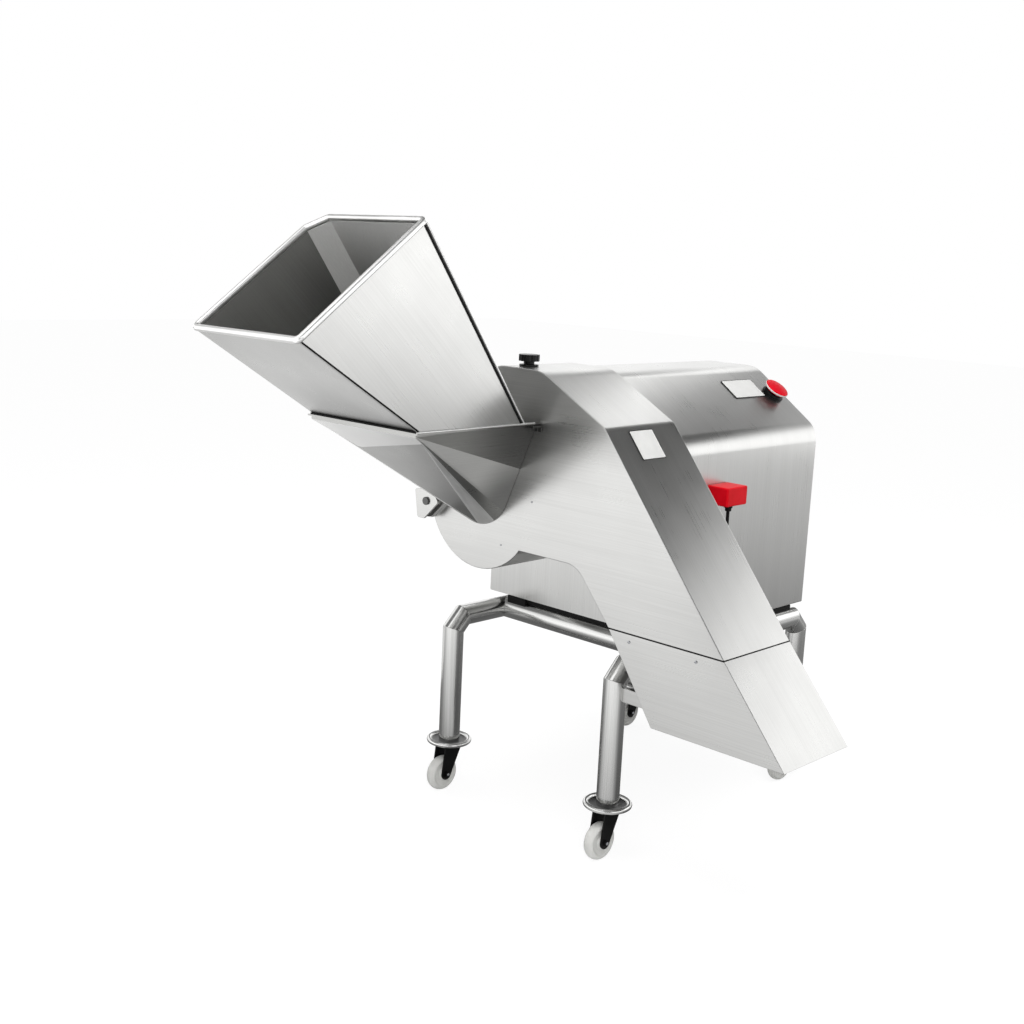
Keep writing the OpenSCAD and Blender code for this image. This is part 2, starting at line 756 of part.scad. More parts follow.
module bearing_housing(shaft_d) {
    r = shaft_d / 2;
    difference() {
        union() {
            rod(r + bearing_wall, bulkhead_y1, bulkhead_y1 + bearing_l);
            rod(r + bearing_wall + bearing_flange, bulkhead_y1, bulkhead_y1 + bearing_flange_t);
        }
        rod(r + running, cabinet_y0, bulkhead_y1 + 2 * bearing_l);
    }
}
module bearing_housings() {
    color(dark_steel) at_drum() {
        bearing_housing(impeller_shaft_d);
        translate([crosscut_at[0], 0, crosscut_at[1]]) bearing_housing(crosscut_shaft_d);
        translate([disc_at[0], 0, disc_at[1]]) bearing_housing(disc_shaft_d);
    }
}
// Pedestal bearing on the cabinet floor behind the driven pulley
module rear_bearing_block() {
    cap_r = impeller_shaft_d / 2 + 28;
    base_w = 180;
    base_t = 14;
    color(dark_steel) at_drum() along_y(block_y, block_t) difference() {
        union() {
            circle(r = cap_r, $fn = 96);
            polygon([
                [-base_w / 2, floor_up], [base_w / 2, floor_up], [base_w / 2, floor_up + base_t],
                [cap_r, floor_up + 3 * base_t], [cap_r, 0], [-cap_r, 0],
                [-cap_r, floor_up + 3 * base_t], [-base_w / 2, floor_up + base_t]]);
        }
        circle(r = impeller_shaft_d / 2 + running, $fn = 96);
    }
}

// Points of one involute tooth, symmetrical about the direction phase
function involute(base_r, r) = let (a = acos(min(1, base_r / r))) tan(a) * 180 / PI - a;
function tooth(z, phase) =
    let (pitch_r = gear_module * z / 2,
         base_r = pitch_r * cos(pressure_angle),
         tip_r = pitch_r + gear_module,
         root_r = pitch_r - 1.25 * gear_module,
         low_r = max(base_r, root_r),
         half = 90 / z - backlash / pitch_r * 45 / PI + involute(base_r, pitch_r),
         radii = [for (k = [0 : 4]) low_r + (tip_r - low_r) * k / 4])
    concat(
        [root_r * [cos(phase - half - 0.1), sin(phase - half - 0.1)]],
        [for (r = radii) let (a = phase - half + involute(base_r, r)) r * [cos(a), sin(a)]],
        [for (k = [4 : -1 : 0])
            let (r = radii[k], a = phase + half - involute(base_r, r)) r * [cos(a), sin(a)]],
        [root_r * [cos(phase + half + 0.1), sin(phase + half + 0.1)]]);
module gear(z, phase, shaft_d) {
    pitch_r = gear_module * z / 2;
    hub_r = shaft_d / 2 + 14;
    rim_r = pitch_r - 3 * gear_module;
    recess = gear_w / 4;
    difference() {
        along_y(gear_y, gear_w) polygon([for (k = [0 : z - 1]) each tooth(z, phase + k * 360 / z)]);
        rod(shaft_d / 2 + seated, gear_y - 1, gear_y + gear_w + 1);
        if (rim_r - hub_r > web_least) {
            along_y(gear_y - 1, recess + 1) ring(rim_r, hub_r);
            along_y(gear_y + gear_w - recess, recess + 1) ring(rim_r, hub_r);
        }
    }
}
module impeller_gear() { color(dark_steel) at_drum() gear(teeth[0], impeller_phase, impeller_shaft_d); }
module crosscut_gear() {
    color(dark_steel) at_drum() translate([crosscut_at[0], 0, crosscut_at[1]])
        gear(teeth[1], crosscut_phase, crosscut_shaft_d);
}
module disc_gear() {
    color(dark_steel) at_drum() translate([disc_at[0], 0, disc_at[1]])
        gear(teeth[2], disc_phase, disc_shaft_d);
}

// Flanged belt pulley, with a web where it is wide enough
module pulley(seat_r, shaft_r) {
    hub_r = shaft_r + 16;
    rim_r = seat_r - 14;
    recess = 12;
    difference() {
        union() {
            rod(seat_r, pulley_y, pulley_y + pulley_l);
            rod(seat_r + pulley_flange_h, pulley_y, pulley_y + pulley_flange_t);
            rod(seat_r + pulley_flange_h, pulley_y + pulley_l - pulley_flange_t, pulley_y + pulley_l);
        }
        if (rim_r - hub_r > web_least) {
            along_y(pulley_y - 1, recess + 1) ring(rim_r, hub_r);
            along_y(pulley_y + pulley_l - recess, recess + 1) ring(rim_r, hub_r);
        }
        if (shaft_r > 0) rod(shaft_r + seated, pulley_y - 1, pulley_y + pulley_l + 1);
    }
}
module driven_pulley() { color(dark_steel) at_drum() pulley(driven_r, impeller_shaft_d / 2); }
module motor_pulley() {
    color(dark_steel) at_drum() translate([motor_at[0], 0, motor_at[1]]) {
        pulley(motor_pulley_r, 0);
        rod(motor_shaft_d / 2, pulley_y + pulley_l, motor_y + motor_l / 2);
    }
}
module drive_belt() {
    color(rubber) at_drum() along_y(pulley_y + pulley_flange_t + clear, belt_w) difference() {
        hull() {
            circle(r = driven_r + clear + belt_t, $fn = 96);
            translate(motor_at) circle(r = motor_pulley_r + clear + belt_t, $fn = 96);
        }
        hull() {
            circle(r = driven_r + clear, $fn = 96);
            translate(motor_at) circle(r = motor_pulley_r + clear, $fn = 96);
        }
    }
}
// Foot-mounted motor with end bells, fins, fan cover and terminal box
module motor_body() {
    r = motor_d / 2;
    bell = 40;
    fins = 24;
    fin_w = 4;
    terminal_l = 90;
    terminal_h = 34;
    color("steelblue") at_drum() translate([motor_at[0], 0, motor_at[1]]) difference() {
        union() {
            rod(r - 10, motor_y + bell, motor_y + motor_l - bell);
            for (a = [0 : 360 / fins : 359]) along_y(motor_y + bell, motor_l - 2 * bell)
                rotate(a) translate([0, -fin_w / 2]) square([r - 2, fin_w]);
            rod(r, motor_y, motor_y + bell);
            rod(r, motor_y + motor_l - bell, motor_y + motor_l);
            translate([-r * 0.8, motor_y + bell, -r - motor_foot])
                cube([1.6 * r, motor_l - 2 * bell, motor_foot + 0.3 * r]);
            translate([-r * 0.45, motor_y + motor_l * 0.4, r * 0.7])
                cube([0.9 * r, terminal_l, 0.3 * r + terminal_h]);
        }
        rod(motor_shaft_d / 2 + running, motor_y - 1, motor_y + motor_l / 2 + 2);
    }
}

// Hopper

// Side outline of the funnel in Y and Z, walls moved in by t, ends run out by over
module funnel_outline(t, over) {
    front = unit([joint_y0 - mouth_y0, joint_up - mouth_up0]);
    rear = unit([joint_y1 - mouth_y1, joint_up - mouth_up1]);
    in_front = [-front[1], front[0]] * t;
    in_rear = [rear[1], -rear[0]] * t;
    polygon([
        [mouth_y0, mouth_up0] + in_front - front * 3 * over,
        [joint_y0, joint_up] + in_front + front * 3 * over,
        [joint_y1, joint_up] + in_rear + rear * 3 * over,
        [mouth_y1, mouth_up1] + in_rear - rear * 3 * over]);
}
// Prism of the funnel with its chamfered rear corner
module funnel_body(t, over) {
    lean = atan2(mouth_y1 - joint_y1, mouth_up1 - joint_up);
    reach = 4 * mouth_chamfer;
    height = 2 * (mouth_up1 - joint_up);
    difference() {
        along_x(-hopper_w / 2 + t, hopper_w - 2 * t) funnel_outline(t, over);
        translate([-hopper_w / 2, mouth_y1, mouth_up1]) rotate([-lean, 0, 0]) rotate(45)
            translate([-reach / 2, -t - mouth_chamfer / sqrt(2), -height])
                cube([reach, reach, 2 * height]);
    }
}
module hopper_funnel() {
    color(steel) at_drum() difference() {
        funnel_body(0, 0);
        funnel_body(hopper_t, 4);
    }
}
// Mouth outline in its own plane: across, and up the slope from the front edge
module mouth_outline(grow) {
    run = norm(mouth_run);
    cut = mouth_chamfer;
    half = hopper_w / 2;
    r = 12;
    corners = [
        [-half, 0, r], [half, 0, r], [half, run, r], [-half + cut, run, r], [-half, run - cut, r]];
    polygon(bent(inset(corners, -grow)));
}
module hopper_rim() {
    color(steel) at_drum() translate([0, mouth_y0, mouth_up0]) rotate([mouth_slope, 0, 0])
        linear_extrude(rim_h) difference() {
            mouth_outline(rim_out);
            mouth_outline(-hopper_t - rim_in);
        }
}
// Trough from the joint down to the feed opening, walls moved in by t
module trough_body(t, over) {
    hull() {
        along_y(trough_y1 - 1 + over, 1) feed_outline(t);
        translate([-hopper_w / 2 + t, joint_y0 + t, joint_up - lip_h + 1.3 * t])
            cube([hopper_w - 2 * t, 1, lip_h - 1.3 * t + over]);
        if (over > 0) translate([-hopper_w / 2 + t, joint_y0 + t, joint_up])
            cube([hopper_w - 2 * t, trough_y1 - joint_y0, over]);
    }
}
// Facet folded down from the trough's front edge
module trough_lip() {
    stand_out = 6;
    folds = [[-0.35 * hopper_w, 104], [hopper_w / 2 - 10, 24]];
    drop = (joint_up - lip_h - feed_up + feed_r) / (trough_y1 - joint_y0);
    hull() {
        translate([-hopper_w / 2, joint_y0 - stand_out, joint_up - lip_h])
            cube([hopper_w, stand_out + 2, lip_h]);
        for (f = folds) translate([f[0], joint_y0 + f[1], joint_up - lip_h - f[1] * drop]) cube(1);
    }
}
module hopper_trough() {
    color(steel) at_drum() difference() {
        union() {
            trough_body(0, 0);
            trough_lip();
            translate([-hopper_w / 2 - flange_out, joint_y0 - flange_out, joint_up - trough_flange_h])
                cube([hopper_w + 2 * flange_out, trough_y1 - joint_y0 + flange_out, trough_flange_h]);
        }
        difference() {
            trough_body(hopper_t, 2);
            translate([-hopper_w, joint_y1 - hopper_t, joint_up - trough_flange_h])
                cube([2 * hopper_w, hopper_w, hopper_w]);
        }
    }
}

// Hinge of the hopper: two leaves on the front plate, and a lug between them
leaf_corners = [
    [-pin_left - 47, -pin_down + 28, 6], [-pin_left - 35, -pin_down - 50, 8],
    [-pin_left - 8, -pin_down - 50, 8], [-pin_left + 46, -pin_down + 2, 8],
    [-pin_left + 20, -pin_down + 34, 10]];
module hinge_bracket() {
    web = [32, 46];
    web_from = [-pin_left - 60, -pin_down - 60];
    color(steel) at_drum() difference() {
        union() {
            along_y(-hinge_base_t - hinge_leaf_t, hinge_base_t + hinge_leaf_t) polygon(bent(leaf_corners));
            along_y(hinge_y0, hinge_leaf_t) polygon(bent(leaf_corners));
            along_y(hinge_y0, -hinge_y0) intersection() {
                polygon(bent(leaf_corners));
                translate(web_from) square(web);
            }
        }
        translate([-pin_left, 0, -pin_down]) rod(pin_d / 2 + seated, hinge_y0 - 1, 1);
    }
}
module hinge_pin() {
    head_t = 5;
    color(dark_steel) at_drum() translate([-pin_left, 0, -pin_down]) {
        rod(pin_d / 2, hinge_y0, -0.5);
        rod(pin_d / 2 + 4, hinge_y0 - head_t, hinge_y0);
    }
}
module hopper_lug() {
    eye_r = pin_d / 2 + 9;
    weld_at = [-feed_r, feed_up + 20];
    color(steel) at_drum() difference() {
        along_y(lug_y0, lug_t) difference() {
            hull() {
                translate([-pin_left, -pin_down]) circle(r = eye_r, $fn = 48);
                translate(weld_at) circle(r = eye_r, $fn = 48);
            }
            translate([-pin_left, -pin_down]) circle(r = pin_d / 2 + running, $fn = 48);
        }
        translate([0, -seated, 0]) trough_body(-seated, 0);
    }
}
module hopper_rest() {
    rest = [flange_out + 6, 34, 16];
    wall = 5;
    color(steel) at_drum()
        translate([hopper_w / 2 + wall / 2, -rest[1], joint_up - trough_flange_h - clear - rest[2]])
            difference() {
                cube(rest);
                translate([wall - 1, -1, -1]) cube([rest[0], rest[1] - wall + 1, rest[2] - wall + 1]);
            }
}

// Controls

module interlock_switch() {
    corner = 6;
    box = [[0, 0, 0], [switch_out, 0, corner], [switch_out, switch_l, corner], [0, switch_l, 0]];
    color(red) placed() translate([cabinet_x1, cabinet_y0 + switch_y, switch_z])
        linear_extrude(switch_h) polygon(bent(box));
}
// Gland under the switch, and the lead from it into the housing's back plate
module interlock_cable() {
    r = cable_d / 2;
    low = switch_z - gland_h - cable_drop;
    color(rubber) placed() translate([gland_at[0], gland_at[1], 0]) {
        translate([0, 0, switch_z - gland_h]) cylinder(r = r + 4, h = gland_h, $fn = 48);
        translate([0, 0, switch_z - gland_h / 2]) cylinder(r = r + 8, h = gland_h / 2, $fn = 6);
        translate([0, 0, low]) cylinder(r = r, h = cable_drop, $fn = 48);
        translate([0, -cable_bend, low]) rotate([0, 90, 0]) rotate_extrude(angle = 90, $fn = 96)
            translate([cable_bend, 0]) circle(r = r, $fn = 48);
        translate([0, housing_d - gland_at[1], low - cable_bend]) rotate([-90, 0, 0])
            cylinder(r = r, h = gland_at[1] - cable_bend - housing_d, $fn = 48);
    }
}
// Moves to the stop button's place, square to the cabinet's slope
module on_slope() {
    placed() translate([stop_x, stop_y, stop_z]) rotate([0, shoulder_slope, 0]) children();
}
module stop_collar() {
    color(rubber) on_slope() difference() {
        union() {
            cylinder(r = stop_d / 2 - 3, h = collar_h * 0.4, $fn = 96);
            cylinder(r = stop_d / 2 - 7, h = collar_h, $fn = 96);
        }
        translate([0, 0, stop_floor]) cylinder(r = stem_r + running, h = collar_h, $fn = 96);
    }
}
// Mushroom head with a domed top on a stem
module stop_button() {
    head_h = 14;
    edge_h = 8;
    under = 3;
    head_z = collar_h + stop_gap;
    foot_z = stop_floor + stop_gap;
    r = stop_d / 2;
    dome = [for (k = [0 : 8])
        let (a = 90 * k / 8)
        [(r - edge_h) * cos(a) + edge_h * pow(cos(a), 4), head_z + edge_h + (head_h - edge_h) * sin(a)]];
    stem = [[0, foot_z], [stem_r, foot_z], [stem_r, head_z], [r - under, head_z], [r, head_z + under]];
    color(red) on_slope() rotate_extrude($fn = 96) polygon(concat(stem, dome));
}
// Moves to the clamp knob's place on the housing's flat top
module on_top() { at_drum() translate([knob_at[0], knob_at[1], top_up]) children(); }
module knob_collar() {
    color(rubber) on_top() difference() {
        cylinder(r = knob_d / 2 - 2, h = knob_collar_h, $fn = 96);
        translate([0, 0, knob_floor]) cylinder(r = stud_r + running, h = knob_collar_h, $fn = 96);
    }
}
// Knob with a waisted neck and a grip of shallow scallops
module clamp_knob() {
    grips = 10;
    grip_r = 6;
    grip_depth = 2;
    neck_z = knob_collar_h + clear;
    cap_z = neck_z + knob_neck_h;
    stud_z = knob_floor + clear;
    color(rubber) on_top() {
        translate([0, 0, stud_z]) cylinder(r = stud_r, h = cap_z - stud_z, $fn = 96);
        translate([0, 0, neck_z]) cylinder(r = knob_d * 0.26, h = knob_neck_h, $fn = 96);
        translate([0, 0, cap_z]) linear_extrude(knob_h) difference() {
            circle(r = knob_d / 2, $fn = 96);
            for (k = [0 : grips - 1]) rotate(360 * k / grips)
                translate([knob_d / 2 + grip_r - grip_depth, 0]) circle(r = grip_r, $fn = 32);
        }
    }
}

// Casters

module caster_fork(x, y) {
    axle_r = axle_d / 2;
    cheek_x = wheel_w / 2 + fork_gap;
    crown_z = flange_z - clear - crown_t;
    axle_z = wheel_d / 2;
    nut_t = 6;
    top_w = 62;
    cheek_r = axle_r + 11;
    color(rubber) placed() translate([x, y, 0]) {
        translate([0, 0, crown_z]) cylinder(r = tube_r + 8, h = crown_t, $fn = 96);
        translate([0, 0, crown_z])
            cylinder(r = king_pin_r, h = flange_z + flange_t + 4 - crown_z, $fn = 96);
        for (side = [-1, 1]) along_x(side * (cheek_x + cheek_t / 2) - cheek_t / 2, cheek_t) hull() {
            translate([-trail, axle_z]) circle(r = cheek_r, $fn = 48);
            translate([-top_w / 2, crown_z]) square([top_w, crown_t / 2]);
        }
        translate([0, -trail, axle_z]) rotate([0, 90, 0]) {
            cylinder(r = axle_r, h = 2 * cheek_x, center = true, $fn = 96);
            for (side = [-1, 1]) translate([0, 0, side * (cheek_x + cheek_t + nut_t / 2)])
                cylinder(r = axle_r + 3, h = nut_t, center = true, $fn = 6);
        }
    }
}
module caster_wheel(x, y) {
    r = wheel_d / 2;
    half = wheel_w / 2;
    hub_r = axle_d / 2 + 10;
    dish = 5;
    bore = axle_d / 2 + running;
    tread_half = half - 1;
    // Half of the section, from the bore to the edge of the tread
    side = [
        [bore, half], [hub_r, half], [hub_r + dish, half - dish],
        [r * 0.68, half - dish], [r * 0.76, tread_half]];
    section = concat(
        side,
        [for (k = [0 : 12]) let (a = 90 - 15 * k) [r * 0.8 + r * 0.2 * cos(a), tread_half * sin(a)]],
        [for (k = [len(side) - 1 : -1 : 0]) [side[k][0], -side[k][1]]]);
    color(nylon) placed() translate([x, y - trail, r]) rotate([0, 90, 0])
        rotate_extrude($fn = 96) polygon(section);
}
module caster_fork_front_left() { caster_fork(leg_x[0], leg_y[0]); }
module caster_fork_front_right() { caster_fork(leg_x[1], leg_y[0]); }
module caster_fork_rear_left() { caster_fork(leg_x[0], leg_y[1]); }
module caster_fork_rear_right() { caster_fork(leg_x[1], leg_y[1]); }
module caster_wheel_front_left() { caster_wheel(leg_x[0], leg_y[0]); }
module caster_wheel_front_right() { caster_wheel(leg_x[1], leg_y[0]); }
module caster_wheel_rear_left() { caster_wheel(leg_x[0], leg_y[1]); }
module caster_wheel_rear_right() { caster_wheel(leg_x[1], leg_y[1]); }

leg_front_left();
leg_front_right();
leg_rear_left();
leg_rear_right();
side_rail_left();
side_rail_right();
cross_tube_front();
cross_tube_rear();
foot_flanges();
chute_stay();
mounting_pads();
cabinet_shell();
cabinet_floor();
cabinet_bulkhead();
cabinet_rear_panel();
mains_gland();
housing_front_plate();
housing_band();
housing_back_plate();
chute_sleeve();
chute_extension();
drum_case();
slice_knife();
stripper_comb();
bearing_housings();
rear_bearing_block();
motor_body();
drive_belt();
interlock_switch();
interlock_cable();
stop_collar();
knob_collar();
hinge_bracket();
hinge_pin();
hopper_rest();
impeller();
impeller_shaft();
impeller_gear();
driven_pulley();
crosscut_spindle();
crosscut_knives();
crosscut_gear();
disc_shaft();
disc_knives();
disc_gear();
motor_pulley();
hopper_funnel();
hopper_rim();
hopper_trough();
hopper_lug();
clamp_knob();
stop_button();
caster_fork_front_left();
caster_fork_front_right();
caster_fork_rear_left();
caster_fork_rear_right();
caster_wheel_front_left();
caster_wheel_front_right();
caster_wheel_rear_left();
caster_wheel_rear_right();
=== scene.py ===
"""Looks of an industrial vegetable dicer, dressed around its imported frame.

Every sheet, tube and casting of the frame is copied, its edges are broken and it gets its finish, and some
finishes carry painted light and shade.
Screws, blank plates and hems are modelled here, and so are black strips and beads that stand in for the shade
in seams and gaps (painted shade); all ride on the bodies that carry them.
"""

from __future__ import annotations

import json
import logging
import math
from collections.abc import Callable, Iterator, Mapping, Sequence
from contextlib import contextmanager
from dataclasses import dataclass, field, replace
from enum import Enum

import bpy
from mathutils import Matrix, Vector

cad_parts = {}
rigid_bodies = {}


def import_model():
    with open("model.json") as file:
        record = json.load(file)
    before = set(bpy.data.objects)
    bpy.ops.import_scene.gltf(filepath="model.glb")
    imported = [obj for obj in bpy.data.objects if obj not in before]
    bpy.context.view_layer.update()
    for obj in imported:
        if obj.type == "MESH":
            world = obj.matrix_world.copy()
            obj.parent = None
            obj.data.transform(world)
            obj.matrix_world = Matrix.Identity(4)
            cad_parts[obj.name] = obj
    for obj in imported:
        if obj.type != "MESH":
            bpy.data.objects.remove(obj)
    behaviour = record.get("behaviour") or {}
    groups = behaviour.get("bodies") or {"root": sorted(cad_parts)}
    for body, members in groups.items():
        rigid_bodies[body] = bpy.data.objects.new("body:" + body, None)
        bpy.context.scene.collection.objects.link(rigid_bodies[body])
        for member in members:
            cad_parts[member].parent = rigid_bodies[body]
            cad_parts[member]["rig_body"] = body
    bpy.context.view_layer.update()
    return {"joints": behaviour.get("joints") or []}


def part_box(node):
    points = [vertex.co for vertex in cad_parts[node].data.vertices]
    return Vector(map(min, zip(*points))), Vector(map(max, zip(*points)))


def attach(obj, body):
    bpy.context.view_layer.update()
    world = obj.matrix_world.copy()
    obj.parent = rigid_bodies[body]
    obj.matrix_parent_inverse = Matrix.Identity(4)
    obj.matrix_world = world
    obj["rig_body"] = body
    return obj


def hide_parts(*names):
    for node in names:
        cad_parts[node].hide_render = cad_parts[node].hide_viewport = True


LOG = logging.getLogger("dicer")
MM = 0.001
Colour = tuple[float, float, float]
Place = tuple[float, float, float]
Span = tuple[float, float]
Feed = float | Sequence[float] | bpy.types.NodeSocket
EdgeTest = Callable[[Vector], bool]
FaceTest = Callable[[bpy.types.MeshPolygon], bool]

# How meshes are cleaned and shaded
MERGE_GAP = 0.02 * MM
FLAT_ANGLE = 0.4
BROKEN_ANGLE = 40.0
SQUARE_ANGLE = 60.0
SMOOTH_ANGLE = 38.0
LEVEL = 0.99

# Size of the brush marks in metres: across the brushing, along it, and round a folded sheet
FINE = 0.0018
LONG = 0.30
ROUND = 0.35

CORNERS = ("front_left", "front_right", "rear_left", "rear_right")
FORWARD = Vector((0, -1, 0))
BACKWARD = Vector((0, 1, 0))
WHITE = (1, 1, 1, 1)


class SelectMode(Enum):
    """What edit mode selects: corners, edges or faces."""

    CORNERS = (True, False, False)
    EDGES = (False, True, False)
    FACES = (False, False, True)


class Grain(Enum):
    """How the brushing runs: the turn of the pattern in degrees, and the size of a mark along each axis."""

    ALONG_X = ((0.0, 0.0, 0.0), (LONG, FINE, FINE))
    ALONG_Y = ((0.0, 0.0, 0.0), (FINE, LONG, FINE))
    UPRIGHT = ((0.0, 0.0, 0.0), (FINE, FINE, LONG))
    ROUND_THE_BEND = ((0.0, 0.0, 0.0), (ROUND, FINE, ROUND))
    DOWN_THE_FUNNEL = ((-43.0, 0.0, 0.0), (FINE, LONG, FINE))


# Bench tools


def activate(piece: bpy.types.Object) -> None:
    """Makes one object the only selected and the active one.

    Args:
        piece: The object that the next operators work on.
    """
    if bpy.context.mode != "OBJECT":
        bpy.ops.object.mode_set(mode="OBJECT")
    bpy.ops.object.select_all(action="DESELECT")
    piece.select_set(True)
    bpy.context.view_layer.objects.active = piece


@contextmanager
def editing(piece: bpy.types.Object, mode: SelectMode) -> Iterator[None]:
    """Opens a piece in edit mode for the length of a with block.

    Args:
        piece: The mesh object to edit.
        mode: What its selection is made of.
    """
    activate(piece)
    bpy.context.tool_settings.mesh_select_mode = mode.value
    bpy.ops.object.mode_set(mode="EDIT")
    yield
    bpy.ops.object.mode_set(mode="OBJECT")


def clear_selection(mesh: bpy.types.Mesh) -> None:
    """Clears the selected flag of every corner, edge and face of a mesh."""
    for parts in (mesh.vertices, mesh.edges, mesh.polygons):
        parts.foreach_set("select", [False] * len(parts))


def pick_faces(piece: bpy.types.Object, test: FaceTest) -> None:
    """Selects the faces that pass a test, and nothing else.

    Args:
        piece: The mesh object.
        test: Says of a face whether it is wanted.
    """
    clear_selection(piece.data)
    for face in piece.data.polygons:
        if test(face):
            face.select = True


def pick_sharp_edges(piece: bpy.types.Object, least: float, test: EdgeTest | None = None) -> int:
    """Selects the edges whose two faces meet at an angle.

    Args:
        piece: The mesh object.
        least: The smallest angle that counts, in degrees.
        test: Says of an edge's middle whether that edge is wanted. All are if it is None.

    Returns:
        How many edges were selected.
    """
    mesh = piece.data
    clear_selection(mesh)
    sides: dict[tuple[int, int], list[Vector]] = {}
    for face in mesh.polygons:
        for key in face.edge_keys:
            sides.setdefault(key, []).append(face.normal.copy())
    count = 0
    limit = math.cos(math.radians(least))
    for edge in mesh.edges:
        normals = sides.get(edge.key, [])
        if len(normals) != 2 or normals[0].dot(normals[1]) > limit:
            continue
        middle = (mesh.vertices[edge.vertices[0]].co + mesh.vertices[edge.vertices[1]].co) / 2
        if test is None or test(middle):
            edge.select = True
            count += 1
    return count


def bevel_square_edges(
    piece: bpy.types.Object, offset: float, segments: int, test: EdgeTest | None = None
) -> None:
    """Rounds the square edges of a piece.

    Args:
        piece: The mesh object.
        offset: How far the rounding reaches, in metres.
        segments: How many steps it has.
        test: Says of an edge's middle whether that edge is rounded. All are if it is None.
    """
    pick_sharp_edges(piece, SQUARE_ANGLE, test)
    with editing(piece, SelectMode.EDGES):
        bpy.ops.mesh.bevel(offset=offset, segments=segments, affect="EDGES")


def smooth(piece: bpy.types.Object) -> None:
    """Shades a piece smooth apart from its sharp edges, and evens its normals by face area.

    Args:
        piece: The mesh object.
    """
    activate(piece)
    bpy.ops.object.shade_smooth_by_angle(angle=math.radians(SMOOTH_ANGLE))
    even = piece.modifiers.new("even_shading", "WEIGHTED_NORMAL")
    even.keep_sharp = True
    bpy.ops.object.modifier_apply(modifier=even.name)


def settle(piece: bpy.types.Object) -> None:
    """Applies a piece's place, turn and scale, so that its object sits at the origin."""
    activate(piece)
    bpy.ops.object.transform_apply(location=True, rotation=True, scale=True)


def link_copy(name: str, mesh: bpy.types.Mesh) -> bpy.types.Object:
    """Puts a copy of a mesh in the scene.

    Args:
        name: The new object's name.
        mesh: The mesh to copy.

    Returns:
        The new object.
    """
    piece = bpy.data.objects.new(name, mesh.copy())
    bpy.context.scene.collection.objects.link(piece)
    return piece


def facing(normal: Vector, along: Vector) -> Matrix:
    """A turn that lays local Z on a normal and local X close to a direction.

    Args:
        normal: Where local Z points to.
        along: The direction that local X is closest to.

    Returns:
        The turn as a 4 by 4 matrix.
    """
    up = normal.normalized()
    right = (along - up * along.dot(up)).normalized()
    turn = Matrix((right, up.cross(right), up)).transposed()
    return turn.to_4x4()


def farthest(node: str, direction: Place) -> Vector:
    """The corner of a frame node that lies farthest in a direction.

    Args:
        node: The node's name.
        direction: The direction to look in.

    Returns:
        The corner, in metres.
    """
    mesh = bpy.data.objects[node].data
    aim = Vector(direction)
    return max((corner.co for corner in mesh.vertices), key=aim.dot).copy()


def hand_over(piece: bpy.types.Object, body: str, finish: Finish, *others: Finish) -> None:
    """Gives a new piece its finishes and puts it on the body that carries it.

    Args:
        piece: The finished mesh object, at the origin.
        body: The body that it moves with.
        finish: The finish of its faces.
        others: Further finishes, in the order of the material numbers of its faces.
    """
    indices = [face.material_index for face in piece.data.polygons]
    piece.data.materials.clear()
    for each in (finish, *others):
        piece.data.materials.append(each.material())
    piece.data.polygons.foreach_set("material_index", indices)
    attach(piece, body)
    LOG.info("%s rides on %s in %s", piece.name, body, finish.name)


# Shader nodes


def add_node(
    tree: bpy.types.NodeTree, kind: str, values: Mapping[str | int, Feed] | None = None, **options: object
) -> bpy.types.Node:
    """Adds a shader node to a tree.

    Args:
        tree: The tree to add to.
        kind: The node's type, without its first words.
        values: What each named or numbered input is linked or set to.
        options: The node's own settings.

    Returns:
        The node.
    """
    node = tree.nodes.new(f"ShaderNode{kind}")
    for name, value in options.items():
        setattr(node, name, value)
    for name, value in (values or {}).items():
        if isinstance(value, bpy.types.NodeSocket):
            tree.links.new(value, node.inputs[name])
        else:
            node.inputs[name].default_value = value
    return node


def map_range(
    tree: bpy.types.NodeTree, value: bpy.types.NodeSocket, source: Span, target: Span, soft: bool = False
) -> bpy.types.NodeSocket:
    """Maps a value from one span to another.

    Args:
        tree: The tree to add to.
        value: The value to map.
        source: The span that it comes from.
        target: The span that it goes to.
        soft: Whether it eases in and out.

    Returns:
        The socket with the mapped value.
    """
    spans = {
        "Value": value,
        "From Min": source[0],
        "From Max": source[1],
        "To Min": target[0],
        "To Max": target[1],
    }
    ease = "SMOOTHSTEP" if soft else "LINEAR"
    return add_node(tree, "MapRange", spans, interpolation_type=ease).outputs["Result"]


def work_out(tree: bpy.types.NodeTree, operation: str, first: Feed, second: Feed) -> bpy.types.NodeSocket:
    """A sum or product of two values."""
    return add_node(tree, "Math", {0: first, 1: second}, operation=operation).outputs["Value"]


def mix_shaders(
    tree: bpy.types.NodeTree,
    share: bpy.types.NodeSocket,
    first: bpy.types.NodeSocket,
    second: bpy.types.NodeSocket,
) -> bpy.types.NodeSocket:
    """Mixes two shaders: the first where the share is 0, and the second where it is 1."""
    return add_node(tree, "MixShader", {0: share, 1: first, 2: second}).outputs["Shader"]


# Shared surface effects


@dataclass(frozen=True)
class Pattern:
    """One noise pattern of an effect, and the output that gives it."""

    output: str
    scale: float
    detail: float
    rough: float = 0.5


